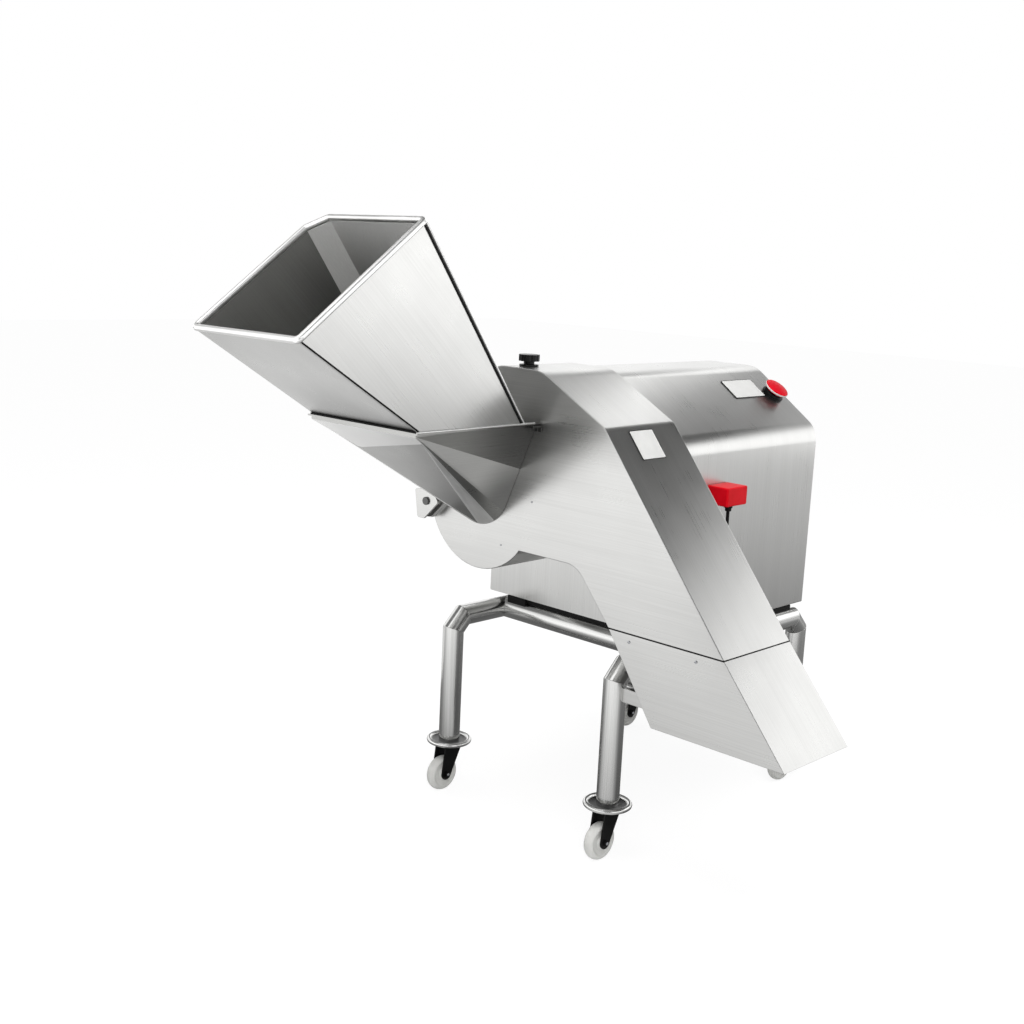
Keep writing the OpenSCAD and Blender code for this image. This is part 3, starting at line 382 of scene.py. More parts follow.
@dataclass(frozen=True)
class Effect:
    """A surface effect that many finishes share, as a node group with one output for each pattern."""

    name: str
    patterns: tuple[Pattern, ...]

    def group(self) -> bpy.types.ShaderNodeTree:
        """The effect's node group, made the first time that it is asked for."""
        made = bpy.data.node_groups.get(self.name)
        return self.make() if made is None else made

    def make(self) -> bpy.types.ShaderNodeTree:
        """Makes the node group.

        Returns:
            The group, which reads the coordinates of its vector input.
        """
        group = bpy.data.node_groups.new(self.name, "ShaderNodeTree")
        group.interface.new_socket("Vector", in_out="INPUT", socket_type="NodeSocketVector")
        for pattern in self.patterns:
            group.interface.new_socket(pattern.output, in_out="OUTPUT", socket_type="NodeSocketFloat")
        vector = group.nodes.new("NodeGroupInput").outputs["Vector"]
        results = group.nodes.new("NodeGroupOutput").inputs
        for pattern in self.patterns:
            values = {
                "Vector": vector,
                "Scale": pattern.scale,
                "Detail": pattern.detail,
                "Roughness": pattern.rough,
            }
            noise = add_node(group, "TexNoise", values)
            group.links.new(noise.outputs["Fac"], results[pattern.output])
        return group


# Fine brush marks and broader bands, in units of one mark
BRUSHED_GRAIN = Effect("brushed_grain", (Pattern("Marks", 1.0, 2.0), Pattern("Bands", 0.045, 2.0)))
# Cloudy handling marks and the slow waviness of sheet, per metre
HANDLING = Effect("handling", (Pattern("Smudges", 11.0, 2.0, 0.45), Pattern("Waves", 4.2, 1.0)))
# Fine grain and faint clouding of moulded or cast pieces, per metre
MOULDED_SKIN = Effect("moulded_skin", (Pattern("Grain", 1400.0, 2.0), Pattern("Clouds", 24.0, 4.0, 0.6)))


@dataclass(frozen=True)
class Patch:
    """A soft dark patch painted into steel's colour: painted shade and painted reflection where the steel
    mirrors a dark corner next to it.
    """

    centre: Place
    core: float
    reach: float
    darkest: float


@dataclass
class Bench:
    """A material's node tree while it is being wired."""

    material: bpy.types.Material
    noise_span: Span = (0.28, 0.72)
    tree: bpy.types.NodeTree = field(init=False)
    shader: bpy.types.Node = field(init=False)

    def __post_init__(self) -> None:
        """Turns nodes on and finds the surface shader."""
        self.material.use_nodes = True
        self.tree = self.material.node_tree
        self.shader = self.tree.nodes["Principled BSDF"]

    def places(self) -> bpy.types.NodeSocket:
        """Object coordinates."""
        return add_node(self.tree, "TexCoord").outputs["Object"]

    def effect(self, effect: Effect, turn: Place = (0, 0, 0), lengths: Place = (1, 1, 1)) -> bpy.types.Node:
        """Places a shared effect in the material, on turned and scaled object coordinates.

        Args:
            effect: The effect.
            turn: The turn of its coordinates, in degrees about each axis.
            lengths: The lengths that become one unit of them, in metres.

        Returns:
            The group node.
        """
        values = {
            "Vector": self.places(),
            "Rotation": [math.radians(angle) for angle in turn],
            "Scale": lengths,
        }
        mapping = add_node(self.tree, "Mapping", values, vector_type="TEXTURE")
        vector = mapping.outputs["Vector"]
        return add_node(self.tree, "Group", {"Vector": vector}, node_tree=effect.group())

    def spread(self, value: bpy.types.NodeSocket, low: float, high: float) -> bpy.types.NodeSocket:
        """Spreads the middle of a noise pattern from one value to another."""
        return map_range(self.tree, value, self.noise_span, (low, high))

    def add(self, first: bpy.types.NodeSocket, second: bpy.types.NodeSocket) -> bpy.types.NodeSocket:
        """The sum of two patterns."""
        return work_out(self.tree, "ADD", first, second)

    def tint(self, share: bpy.types.NodeSocket, dark: Colour, light: Colour) -> None:
        """Runs the base colour from a dark to a light one.

        Args:
            share: The pattern that says how light the colour is, 0 to 1.
            dark: The colour at 0.
            light: The colour at 1.
        """
        node = add_node(self.tree, "Mix", {"Factor": share}, data_type="RGBA")
        ends = [socket for socket in node.inputs if socket.type == "RGBA"]
        for end, colour in zip(ends, (dark, light)):
            end.default_value = (*colour, 1.0)
        result = next(socket for socket in node.outputs if socket.type == "RGBA")
        self.tree.links.new(result, self.shader.inputs["Base Color"])

    def shade(self, patch: Patch) -> None:
        """Paints shade: darkens the base colour softly round a place.

        Args:
            patch: The painted shade patch.
        """
        ends = {0: self.places(), 1: patch.centre}
        away = add_node(self.tree, "VectorMath", ends, operation="DISTANCE").outputs["Value"]
        level = map_range(self.tree, away, (patch.core, patch.reach), (patch.darkest, 1.0), soft=True)
        target = self.shader.inputs["Base Color"]
        values = {0: target.links[0].from_socket, "Scale": level}
        scale = add_node(self.tree, "VectorMath", values, operation="SCALE")
        self.tree.links.new(scale.outputs["Vector"], target)

    def rough(self, value: bpy.types.NodeSocket) -> None:
        """Feeds a pattern to the roughness."""
        self.tree.links.new(value, self.shader.inputs["Roughness"])

    def bump(self, heights: Sequence[tuple[bpy.types.NodeSocket, float]]) -> None:
        """Stacks height patterns under the normal.

        Args:
            heights: Each pattern with its depth in metres.
        """
        below: dict[str, bpy.types.NodeSocket] = {}
        for height, depth in heights:
            values = {"Strength": 1.0, "Distance": depth, "Height": height, **below}
            below = {"Normal": add_node(self.tree, "Bump", values).outputs["Normal"]}
        self.tree.links.new(below["Normal"], self.shader.inputs["Normal"])


# Finishes


def grey(level: float) -> Colour:
    """The colour of stainless steel at a level: a grey that is a little warm."""
    return (level, level, level - 0.01)


@dataclass(frozen=True)
class Finish:
    """A surface finish: its name, and the record's material slot that it belongs to."""

    name: str
    slot: str

    def material(self) -> bpy.types.Material:
        """Finds the finish's material, or makes it the first time that it is asked for.

        Returns:
            The material.
        """
        made = bpy.data.materials.get(self.name)
        if made is None:
            made = bpy.data.materials.new(self.name)
            self.wire(Bench(made))
        return made

    def wire(self, bench: Bench) -> None:
        """Wires the material's nodes."""
        raise NotImplementedError


@dataclass(frozen=True)
class BrushedSteel(Finish):
    """Stainless sheet or tube with brush marks in one direction."""

    grain: Grain
    patches: tuple[Patch, ...] = ()
    dark: Colour = grey(0.535)
    light: Colour = grey(0.615)
    rough_low: float = 0.26
    rough_high: float = 0.33
    mark_share: float = 0.75
    band_depth: float = 0.02 * MM
    wave_depth: float = 0.6 * MM

    def wire(self, bench: Bench) -> None:
        """Wires brush marks, handling marks, painted shade and the sheet's waviness.

        Args:
            bench: The material's node tree.
        """
        brushed = bench.effect(BRUSHED_GRAIN, *self.grain.value).outputs
        handled = bench.effect(HANDLING).outputs
        marks = bench.spread(brushed["Marks"], 0.0, self.mark_share)
        bands = bench.spread(brushed["Bands"], 0.0, 1.0 - self.mark_share)
        bench.tint(bench.add(marks, bands), self.dark, self.light)
        # Painted shade: each patch darkens the base colour round a place.
        for patch in self.patches:
            bench.shade(patch)
        middle = (self.rough_low + self.rough_high) / 2
        fine = bench.spread(brushed["Marks"], self.rough_low, middle)
        cloudy = bench.spread(handled["Smudges"], 0.0, self.rough_high - middle)
        bench.rough(bench.add(fine, cloudy))
        heights = [(brushed["Bands"], self.band_depth)]
        if self.wave_depth > 0:
            heights.insert(0, (handled["Waves"], self.wave_depth))
        bench.bump(heights)
        bench.shader.inputs["Metallic"].default_value = 1.0


@dataclass(frozen=True)
class PolishedSteel(Finish):
    """Steel that is ground or polished bright, such as a broken sheet edge or a shaft."""

    dark: Colour = grey(0.70)
    light: Colour = grey(0.86)
    rough: float = 0.22
    rough_spread: float = 0.08

    def wire(self, bench: Bench) -> None:
        """Wires clouded handling marks over a bright metal.

        Args:
            bench: The material's node tree.
        """
        smudges = bench.effect(HANDLING).outputs["Smudges"]
        bench.tint(bench.spread(smudges, 0.0, 1.0), self.dark, self.light)
        bench.rough(bench.spread(smudges, self.rough, self.rough + self.rough_spread))
        bench.shader.inputs["Metallic"].default_value = 1.0


@dataclass(frozen=True)
class Moulded(Finish):
    """Moulded plastic, rubber, nylon or painted casting with a fine skin."""

    dark: Colour
    light: Colour
    rough: float
    grain_depth: float = 0.04 * MM
    shine: float = 0.3
    rough_spread: float = 0.08

    def wire(self, bench: Bench) -> None:
        """Wires the skin's grain and its faint clouds.

        Args:
            bench: The material's node tree.
        """
        skin = bench.effect(MOULDED_SKIN).outputs
        bench.tint(bench.spread(skin["Clouds"], 0.0, 1.0), self.dark, self.light)
        bench.rough(bench.spread(skin["Clouds"], self.rough, self.rough + self.rough_spread))
        bench.bump([(skin["Grain"], self.grain_depth)])
        bench.shader.inputs["Specular IOR Level"].default_value = self.shine


STAINLESS = "brushed_stainless"
MACHINED = "machined_steel"
MOULD_GRAIN = 0.01 * MM

# Painted shade, dark where steel mirrors dark corners: middle, core and reach in metres, and the share of the
# colour that is left
JOINT_PATCH = Patch((-0.20, -0.114, 1.11), 0.015, 0.075, 0.75)
KEEL_PATCH = Patch((-0.33, -0.114, 0.83), 0.04, 0.24, 0.35)
WALL_PATCH = Patch((-0.184, -0.114, 1.08), 0.05, 0.30, 0.35)
CHIN_PATCH = Patch((-0.38, -0.524, 1.10), 0.05, 0.24, 0.65)
THROAT_PATCH = Patch((-0.53, -0.27, 1.38), 0.10, 0.36, 0.50)
LIP_PATCH = Patch((-0.279, -0.114, 0.884), 0.05, 0.20, 0.40)

# Sheets of the housing and the cabinet
FLAT_STEEL = BrushedSteel("flat_steel", STAINLESS, Grain.ALONG_X)
# The front plate carries painted shade where it meets the hopper.
PLATE_STEEL = replace(FLAT_STEEL, name="plate_steel", patches=(JOINT_PATCH,))
FOLDED_STEEL = replace(FLAT_STEEL, name="folded_steel", grain=Grain.ROUND_THE_BEND)
WALL_STEEL = replace(FLAT_STEEL, name="wall_steel", grain=Grain.UPRIGHT, wave_depth=0.0)

# Sheets of the hopper: its outside, with painted shade low on its front, and the matt walls inside it, which
# are copies painted lighter or darker wall by wall as painted light and shade, with painted shade down the
# throat
HOPPER_STEEL = BrushedSteel("hopper_steel", STAINLESS, Grain.DOWN_THE_FUNNEL, (CHIN_PATCH,))
INNER_PAINTED_LIGHT_STEEL = BrushedSteel(
    "inner_painted_light_steel", STAINLESS, Grain.DOWN_THE_FUNNEL, (THROAT_PATCH,), grey(0.84), grey(0.92), 0.48, 0.58
)
INNER_LEFT_PAINTED_SHADE_STEEL = replace(INNER_PAINTED_LIGHT_STEEL, name="inner_left_painted_shade_steel", dark=grey(0.27), light=grey(0.34))
INNER_CORNER_PAINTED_LIGHT_STEEL = replace(
    INNER_PAINTED_LIGHT_STEEL, name="inner_corner_painted_light_steel", patches=(), dark=grey(0.68), light=grey(0.76)
)

# Sheets of the trough: painted shade near the plate, a painted-shade copy for the corners and the upper side
# walls, and a painted-light copy, with painted shade near the plate's bottom, for the lower side walls
TROUGH_STEEL = BrushedSteel(
    "trough_steel", STAINLESS, Grain.ALONG_Y, (KEEL_PATCH,), grey(0.38), grey(0.46), wave_depth=0.0
)
SHADED_STEEL = replace(
    TROUGH_STEEL, name="shaded_steel", patches=(WALL_PATCH,), dark=grey(0.32), light=grey(0.40)
)
LIT_STEEL = BrushedSteel(
    "lit_steel", STAINLESS, Grain.ALONG_Y, (LIP_PATCH,), grey(0.66), grey(0.74), 0.38, 0.48, wave_depth=0.0
)

# Tubes
UPRIGHT_STEEL = BrushedSteel(
    "upright_steel", STAINLESS, Grain.UPRIGHT, (), grey(0.58), grey(0.70), 0.15, 0.23, wave_depth=0.0
)
RAIL_STEEL = replace(UPRIGHT_STEEL, name="rail_steel", grain=Grain.ALONG_Y)
CROSS_STEEL = replace(UPRIGHT_STEEL, name="cross_steel", grain=Grain.ALONG_X)

# Edges, hems and turned pieces
EDGE_STEEL = PolishedSteel("edge_steel", STAINLESS)
# The bright finish of broken plate edges; on the trough's front faces its brightness is a painted highlight.
LIP_STEEL = PolishedSteel("lip_steel", STAINLESS, grey(0.90), grey(0.96), 0.34)
RIM_STEEL = PolishedSteel("rim_steel", STAINLESS, grey(0.84), grey(0.94), 0.30)
GROUND_STEEL = PolishedSteel("ground_steel", MACHINED, (0.42, 0.43, 0.45), (0.60, 0.61, 0.63), 0.26)
# This dark finish is the hinge pin's own colour, and painted shade on the foot flanges' dishes and the
# chute's broken edges.
DARK_STEEL_AND_PAINTED_SHADE = PolishedSteel("dark_steel", MACHINED, (0.10, 0.10, 0.10), (0.16, 0.16, 0.16), 0.34)

# Castings, rubber and plastics
CAST_PAINT = Moulded("cast_paint", "cast_iron", (0.10, 0.105, 0.11), (0.16, 0.165, 0.17), 0.45, 0.12 * MM)
MOTOR_PAINT = Moulded(
    "motor_enamel", "motor_paint", (0.16, 0.24, 0.33), (0.22, 0.31, 0.41), 0.38, 0.08 * MM
)
RUBBER = Moulded(
    "seal_rubber", "black_rubber", (0.004, 0.004, 0.004), (0.009, 0.009, 0.009), 0.55, shine=0.12
)
BLACK_PLASTIC = Moulded(
    "moulded_black", "black_plastic", (0.002, 0.002, 0.002), (0.005, 0.005, 0.005), 0.30, MOULD_GRAIN, 0.22
)
RED_PLASTIC = Moulded(
    "moulded_red", "red_plastic", (0.50, 0.001, 0.006), (0.60, 0.002, 0.010), 0.38, MOULD_GRAIN, 0.08
)
BUTTON_RED = Moulded(
    "button_red", "red_plastic", (0.42, 0.001, 0.008), (0.54, 0.002, 0.012), 0.36, MOULD_GRAIN, 0.08
)
NYLON = Moulded("wheel_nylon", "white_nylon", (0.54, 0.54, 0.52), (0.62, 0.62, 0.60), 0.38)
PLATE_WHITE = Moulded("plate_white", "white_nylon", grey(0.50), grey(0.56), 0.40, MOULD_GRAIN)


# The frame's own pieces


@dataclass(frozen=True)
class Dress:
    """How one node of the frame is dressed: its finish, its broken edges and its odd faces.

    Edges with more segments than most_clamped may be rounded past the edges next to them.
    """

    node: str
    finish: Finish
    edge_mm: float = 0.0
    edge_finish: Finish | None = None
    edge_test: EdgeTest | None = None
    segments: int = 2
    faces: tuple[tuple[Finish, FaceTest], ...] = ()
    fold: Fold | None = None
    most_clamped: int = 3

    def make(self) -> None:
        """Copies the node, breaks its edges, smooths it and lets the copy stand for the node."""
        source = bpy.data.objects[self.node]
        piece = link_copy(f"{self.node}_shape", source.data)
        piece.data.materials.clear()
        with editing(piece, SelectMode.CORNERS):
            bpy.ops.mesh.select_all(action="SELECT")
            bpy.ops.mesh.remove_doubles(threshold=MERGE_GAP)
            bpy.ops.mesh.dissolve_limited(angle_limit=math.radians(FLAT_ANGLE))
            bpy.ops.mesh.select_all(action="DESELECT")
        if self.fold is not None:
            self.fold.score(piece)
        if self.edge_mm > 0 and pick_sharp_edges(piece, BROKEN_ANGLE, self.edge_test):
            with editing(piece, SelectMode.EDGES):
                bpy.ops.mesh.bevel(
                    offset=self.edge_mm * MM,
                    segments=self.segments,
                    affect="EDGES",
                    clamp_overlap=self.segments <= self.most_clamped,
                    material=1 if self.edge_finish else -1,
                )
        smooth(piece)
        hand_over(piece, source["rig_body"], *self.sort_faces(piece))
        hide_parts(self.node)

    def sort_faces(self, piece: bpy.types.Object) -> list[Finish]:
        """Numbers the faces that have a finish of their own.

        Args:
            piece: The dressed copy.

        Returns:
            The finishes, in the order of the faces' numbers.
        """
        finishes = [each for each in (self.finish, self.edge_finish) if each]
        for finish, test in self.faces:
            for face in piece.data.polygons:
                if face.material_index == 0 and test(face):
                    face.material_index = len(finishes)
            finishes.append(finish)
        return finishes


@dataclass
class Datum:
    """The machine's own zero: the drum axis, the front plate's face and the floor."""

    drum: Vector = field(init=False)
    front: float = field(init=False)

    def __post_init__(self) -> None:
        """Reads the drum axis and the plate's face from the frame."""
        low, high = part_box("impeller_shaft")
        self.drum = (low + high) / 2
        self.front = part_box("housing_front_plate")[0].y

    def at(self, across: float, behind: float, height: float) -> Vector:
        """A place given in millimetres.

        Args:
            across: Distance from the drum axis towards the chute.
            behind: Distance behind the front plate's face.
            height: Height above the floor.

        Returns:
            The place in the shared frame, in metres.
        """
        return Vector((self.drum.x + across * MM, self.front + behind * MM, height * MM))


def is_upright(face: bpy.types.MeshPolygon) -> bool:
    """Says whether a face is a front or rear face."""
    return abs(face.normal.y) > 0.9


def is_dish(face: bpy.types.MeshPolygon) -> bool:
    """Says whether a face of a foot flange lies flat, inside its bead."""
    return face.normal.z > 0.96


def is_lip(face: bpy.types.MeshPolygon) -> bool:
    """Says whether a face of the trough belongs to its front, which is flatter than its keel."""
    return face.normal.z < -0.8 and face.normal.y > -0.562


def is_side(face: bpy.types.MeshPolygon) -> bool:
    """Says whether a face of the trough belongs to one of its side walls."""
    return abs(face.normal.x) > 0.85


def is_corner(face: bpy.types.MeshPolygon) -> bool:
    """Says whether a face of the trough lies between a side wall and the bottom."""
    return 0.06 < abs(face.normal.x) <= 0.85 and face.normal.z < -0.2


def is_inside_funnel(face: bpy.types.MeshPolygon) -> bool:
    """Says whether a face of the hopper's funnel looks at its middle."""
    low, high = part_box("hopper_funnel")
    return face.normal.dot(face.center - (low + high) / 2) < 0


def is_inside_left(face: bpy.types.MeshPolygon) -> bool:
    """Says whether a face is the inside of the funnel's left wall."""
    return face.normal.x > 0.9 and is_inside_funnel(face)


def is_inside_corner(face: bpy.types.MeshPolygon) -> bool:
    """Says whether a face is the inside of the funnel's cut corner."""
    return 0.4 < face.normal.x <= 0.9 and is_inside_funnel(face)


@dataclass(frozen=True)
class Fold:
    """A fold line across the side walls of the trough, in a plane through both of them. The walls stay flat:
    the fold shows only as painted shade above the line and painted light below it.
    """

    point: Place
    normal: Place

    @staticmethod
    def of_trough(below_top: float = 8 * MM, drop_share: float = 0.40) -> Fold:
        """The fold from the trough's front corners to the middle of its rear edge.

        Args:
            below_top: How far below the trough's top it starts.
            drop_share: How much of the trough's height it falls by.

        Returns:
            The fold, worked out from the trough's box.
        """
        low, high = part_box("hopper_trough")
        drop = (high.z - low.z) * drop_share
        normal = Vector((0, drop, high.y - low.y)).normalized()
        return Fold((high.x, low.y, high.z - below_top), tuple(normal))

    def is_above(self, face: bpy.types.MeshPolygon) -> bool:
        """Says whether a face is a side wall's part above the fold."""
        return is_side(face) and (face.center - Vector(self.point)).dot(Vector(self.normal)) > 0

    def score(self, piece: bpy.types.Object) -> None:
        """Cuts the fold line into the side walls of a piece.

        Args:
            piece: The copy of the trough.
        """
        pick_faces(piece, is_side)
        with editing(piece, SelectMode.FACES):
            bpy.ops.mesh.bisect(plane_co=self.point, plane_no=self.normal)
            bpy.ops.mesh.select_all(action="DESELECT")


@dataclass
class FrameDresser:
    """Dresses every node that the frame brings along."""

    face_gap: float = 0.2 * MM

    def edges_at(self, y: float) -> EdgeTest:
        """A test for the edges that lie in an upright plane across the machine."""
        return lambda middle: abs(middle.y - y) < self.face_gap

    def stand(self) -> list[Dress]:
        """What the frame and the casters are dressed with.

        Returns:
            One entry for each of their nodes.
        """
        return [
            *(Dress(f"leg_{corner}", UPRIGHT_STEEL, 0.8, EDGE_STEEL) for corner in CORNERS),
            *(Dress(f"side_rail_{side}", RAIL_STEEL, 0.8, EDGE_STEEL) for side in ("left", "right")),
            *(Dress(f"cross_tube_{end}", CROSS_STEEL) for end in ("front", "rear")),
            *(Dress(f"caster_fork_{corner}", BLACK_PLASTIC, 1.4) for corner in CORNERS),
            *(Dress(f"caster_wheel_{corner}", NYLON, 1.2) for corner in CORNERS),
            # The flanges' flat dishes get a dark finish as painted shade.
            Dress("foot_flanges", EDGE_STEEL, faces=((DARK_STEEL_AND_PAINTED_SHADE, is_dish),)),
            Dress("chute_stay", FLAT_STEEL, 0.8, EDGE_STEEL),
            Dress("mounting_pads", RUBBER, 2.0),
        ]

    def casing(self) -> list[Dress]:
        """What the cabinet and the cutting housing are dressed with.

        Returns:
            One entry for each of their nodes.
        """
        front = self.edges_at(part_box("housing_front_plate")[0].y)
        back = self.edges_at(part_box("housing_back_plate")[1].y)
        chute_faces = ((FLAT_STEEL, is_upright),)
        return [
            Dress("cabinet_shell", FOLDED_STEEL, 0.9, EDGE_STEEL),
            Dress("cabinet_floor", FOLDED_STEEL),
            Dress("cabinet_bulkhead", WALL_STEEL),
            Dress("cabinet_rear_panel", WALL_STEEL),
            Dress("mains_gland", BLACK_PLASTIC, 0.8),
            Dress("housing_front_plate", PLATE_STEEL, 2.2, LIP_STEEL, front, 3),
            Dress("housing_band", FOLDED_STEEL),
            Dress("housing_back_plate", FLAT_STEEL, 2.2, LIP_STEEL, back, 3),
            Dress("chute_sleeve", FOLDED_STEEL),
            # The chute's broken edges get a dark finish as painted shade.
            Dress("chute_extension", FOLDED_STEEL, 1.4, DARK_STEEL_AND_PAINTED_SHADE, segments=3, faces=chute_faces),
        ]

    def works(self) -> list[Dress]:
        """What the cutting set, the drive and the fixed parts of the controls are dressed with.

        Returns:
            One entry for each of their nodes.
        """
        return [
            Dress("drum_case", FOLDED_STEEL, 0.6, EDGE_STEEL),
            Dress("slice_knife", GROUND_STEEL, 0.3),
            Dress("stripper_comb", GROUND_STEEL, 0.5),
            Dress("bearing_housings", CAST_PAINT, 1.5),
            Dress("rear_bearing_block", CAST_PAINT, 2.0),
            Dress("motor_body", MOTOR_PAINT, 0.8),
            Dress("drive_belt", RUBBER, 1.5),
            Dress("interlock_switch", RED_PLASTIC, 4.0, segments=4),
            Dress("interlock_cable", RUBBER, 0.8),
            Dress("stop_collar", BLACK_PLASTIC, 1.0),
            Dress("knob_collar", BLACK_PLASTIC, 0.8),
            Dress("hinge_bracket", FLAT_STEEL, 0.8),
            Dress("hinge_pin", DARK_STEEL_AND_PAINTED_SHADE, 0.8),
            # The hopper rest is darkened with painted shade.
            Dress("hopper_rest", SHADED_STEEL, 0.8),
            Dress("impeller", FLAT_STEEL, 0.8, EDGE_STEEL),
            Dress("impeller_shaft", GROUND_STEEL, 1.0),
            Dress("impeller_gear", GROUND_STEEL),
            Dress("driven_pulley", CAST_PAINT, 0.8),
            Dress("crosscut_spindle", GROUND_STEEL, 1.0),
            Dress("crosscut_knives", FLAT_STEEL),
            Dress("crosscut_gear", GROUND_STEEL),
            Dress("disc_shaft", GROUND_STEEL, 1.0),
            Dress("disc_knives", FLAT_STEEL),
            Dress("disc_gear", GROUND_STEEL),
            Dress("motor_pulley", CAST_PAINT, 0.8),
        ]

    def hopper(self) -> list[Dress]:
        """What the hopper, the clamp knob and the stop button are dressed with.

        Returns:
            One entry for each of their nodes.
        """
        fold = Fold.of_trough()
        # Painted light and shade on the trough: its front faces get a painted highlight, its corners and the
        # side walls above the fold painted shade, and the side walls below it painted light.
        trough_faces = (
            (LIP_STEEL, is_lip),
            (SHADED_STEEL, is_corner),
            (SHADED_STEEL, fold.is_above),
            (LIT_STEEL, is_side),
        )
        # Painted light and shade inside the funnel: the left wall is painted dark, and the cut corner and the
        # other walls are painted light.
        funnel_faces = (
            (INNER_LEFT_PAINTED_SHADE_STEEL, is_inside_left),
            (INNER_CORNER_PAINTED_LIGHT_STEEL, is_inside_corner),
            (INNER_PAINTED_LIGHT_STEEL, is_inside_funnel),
        )
        return [
            Dress("hopper_funnel", HOPPER_STEEL, 1.2, EDGE_STEEL, faces=funnel_faces),
            Dress("hopper_rim", RIM_STEEL, 6.6, segments=5),
            Dress("hopper_trough", TROUGH_STEEL, 1.0, EDGE_STEEL, faces=trough_faces, fold=fold),
            Dress("hopper_lug", FLAT_STEEL, 0.8),
            Dress("clamp_knob", BLACK_PLASTIC, 1.2, segments=3),
            Dress("stop_button", BUTTON_RED),
        ]

    def dress(self) -> None:
        """Dresses every node of the frame."""
        for entry in (*self.stand(), *self.casing(), *self.works(), *self.hopper()):
            entry.make()


# Pieces that the frame doesn't hold


@dataclass
class Screws:
    """Socket screws with domed heads, modelled once and copied to their places."""

    datum: Datum
    head_r: float = 5.0 * MM
    head_h: float = 3.2 * MM
    dome_share: float = 0.62
    socket_wall_share: float = 0.12
    socket_depth: float = 1.8 * MM
    spin_hint: Place = (0.3, 0.2, 0.9)
    plate_mm: tuple[Span, ...] = ((189, 905), (86, 774))
    plate_size: float = 0.5
    chute_mm: tuple[Span, ...] = ((531, 616), (731, 616))
    chute_size: float = 0.75
    axle_size: float = 0.8
    axle_reach: float = 6 * MM
    panel_inset: float = 16 * MM
    panel_levels: tuple[float, ...] = (0.04, 0.36, 0.68)
    master: bpy.types.Object = field(init=False)

    def __post_init__(self) -> None:
        """Models the head that all places share."""
        self.master = self.head()

    def head(self) -> bpy.types.Object:
        """Models one head that stands on the XY plane.

        Returns:
            The head, which is a pattern for the copies.
        """
        bpy.ops.mesh.primitive_cylinder_add(
            vertices=30, radius=self.head_r, depth=self.head_h, location=(0, 0, self.head_h / 2)
        )
        piece = bpy.context.object
        piece.name = "screw_pattern"
        settle(piece)
        top = self.head_h - MERGE_GAP
        dome = self.head_h * self.dome_share
        bevel_square_edges(piece, dome, segments=4, test=lambda middle: middle.z > top)
        pick_faces(piece, lambda face: face.center.z > top and face.normal.z > LEVEL)
        with editing(piece, SelectMode.FACES):
            bpy.ops.mesh.inset(thickness=self.head_r * self.socket_wall_share)
            bpy.ops.mesh.extrude_region_move(TRANSFORM_OT_translate={"value": (0, 0, -self.socket_depth)})
        smooth(piece)
        return piece

    def put(self, name: str, place: Vector, normal: Vector, body: str = "machine", size: float = 1.0) -> None:
        """Copies the head to a place.

        Args:
            name: The copy's name.
            place: Where its seat is, in metres.
            normal: Where it points to.
            body: The body that it rides on.
            size: Its size as a share of the pattern's.
        """
        piece = link_copy(name, self.master.data)
        turn = facing(normal, Vector(self.spin_hint))
        piece.matrix_world = Matrix.Translation(place) @ turn @ Matrix.Scale(size, 4)
        settle(piece)
        hand_over(piece, body, GROUND_STEEL)

    def drive_all(self) -> None:
        """Puts the screws that show on the housing, the chute and the cabinet."""
        rows = (("plate", self.plate_mm, self.plate_size), ("chute", self.chute_mm, self.chute_size))
        for row, places, size in rows:
            for index, (across, height) in enumerate(places):
                self.put(f"{row}_screw_{index}", self.datum.at(across, 0, height), FORWARD, size=size)
        self.rear_panel()
        self.axles()
        bpy.data.objects.remove(self.master)

    def axles(self) -> None:
        """Puts a bright cap on both ends of each wheel's axle."""
        for corner in CORNERS:
            low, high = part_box(f"caster_wheel_{corner}")
            axle = (low + high) / 2
            points = [point.co for point in bpy.data.objects[f"caster_fork_{corner}"].data.vertices]
            near = [point.x - axle.x for point in points if abs(point.z - axle.z) < self.axle_reach]
            for name, offset, way in (("outer", max(near), 1), ("inner", min(near), -1)):
                place = Vector((axle.x + offset, axle.y, axle.z))
                cap = f"axle_cap_{name}_{corner}"
                self.put(cap, place, Vector((way, 0, 0)), f"caster_{corner}", self.axle_size)

    def rear_panel(self) -> None:
        """Puts a row of screws along each edge of the rear panel."""
        low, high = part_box("cabinet_rear_panel")
        for level, share in enumerate(self.panel_levels):
            for side, x in (("left", low.x + self.panel_inset), ("right", high.x - self.panel_inset)):
                place = Vector((x, high.y, low.z + share * (high.z - low.z)))
                self.put(f"rear_screw_{side}_{level}", place, BACKWARD)


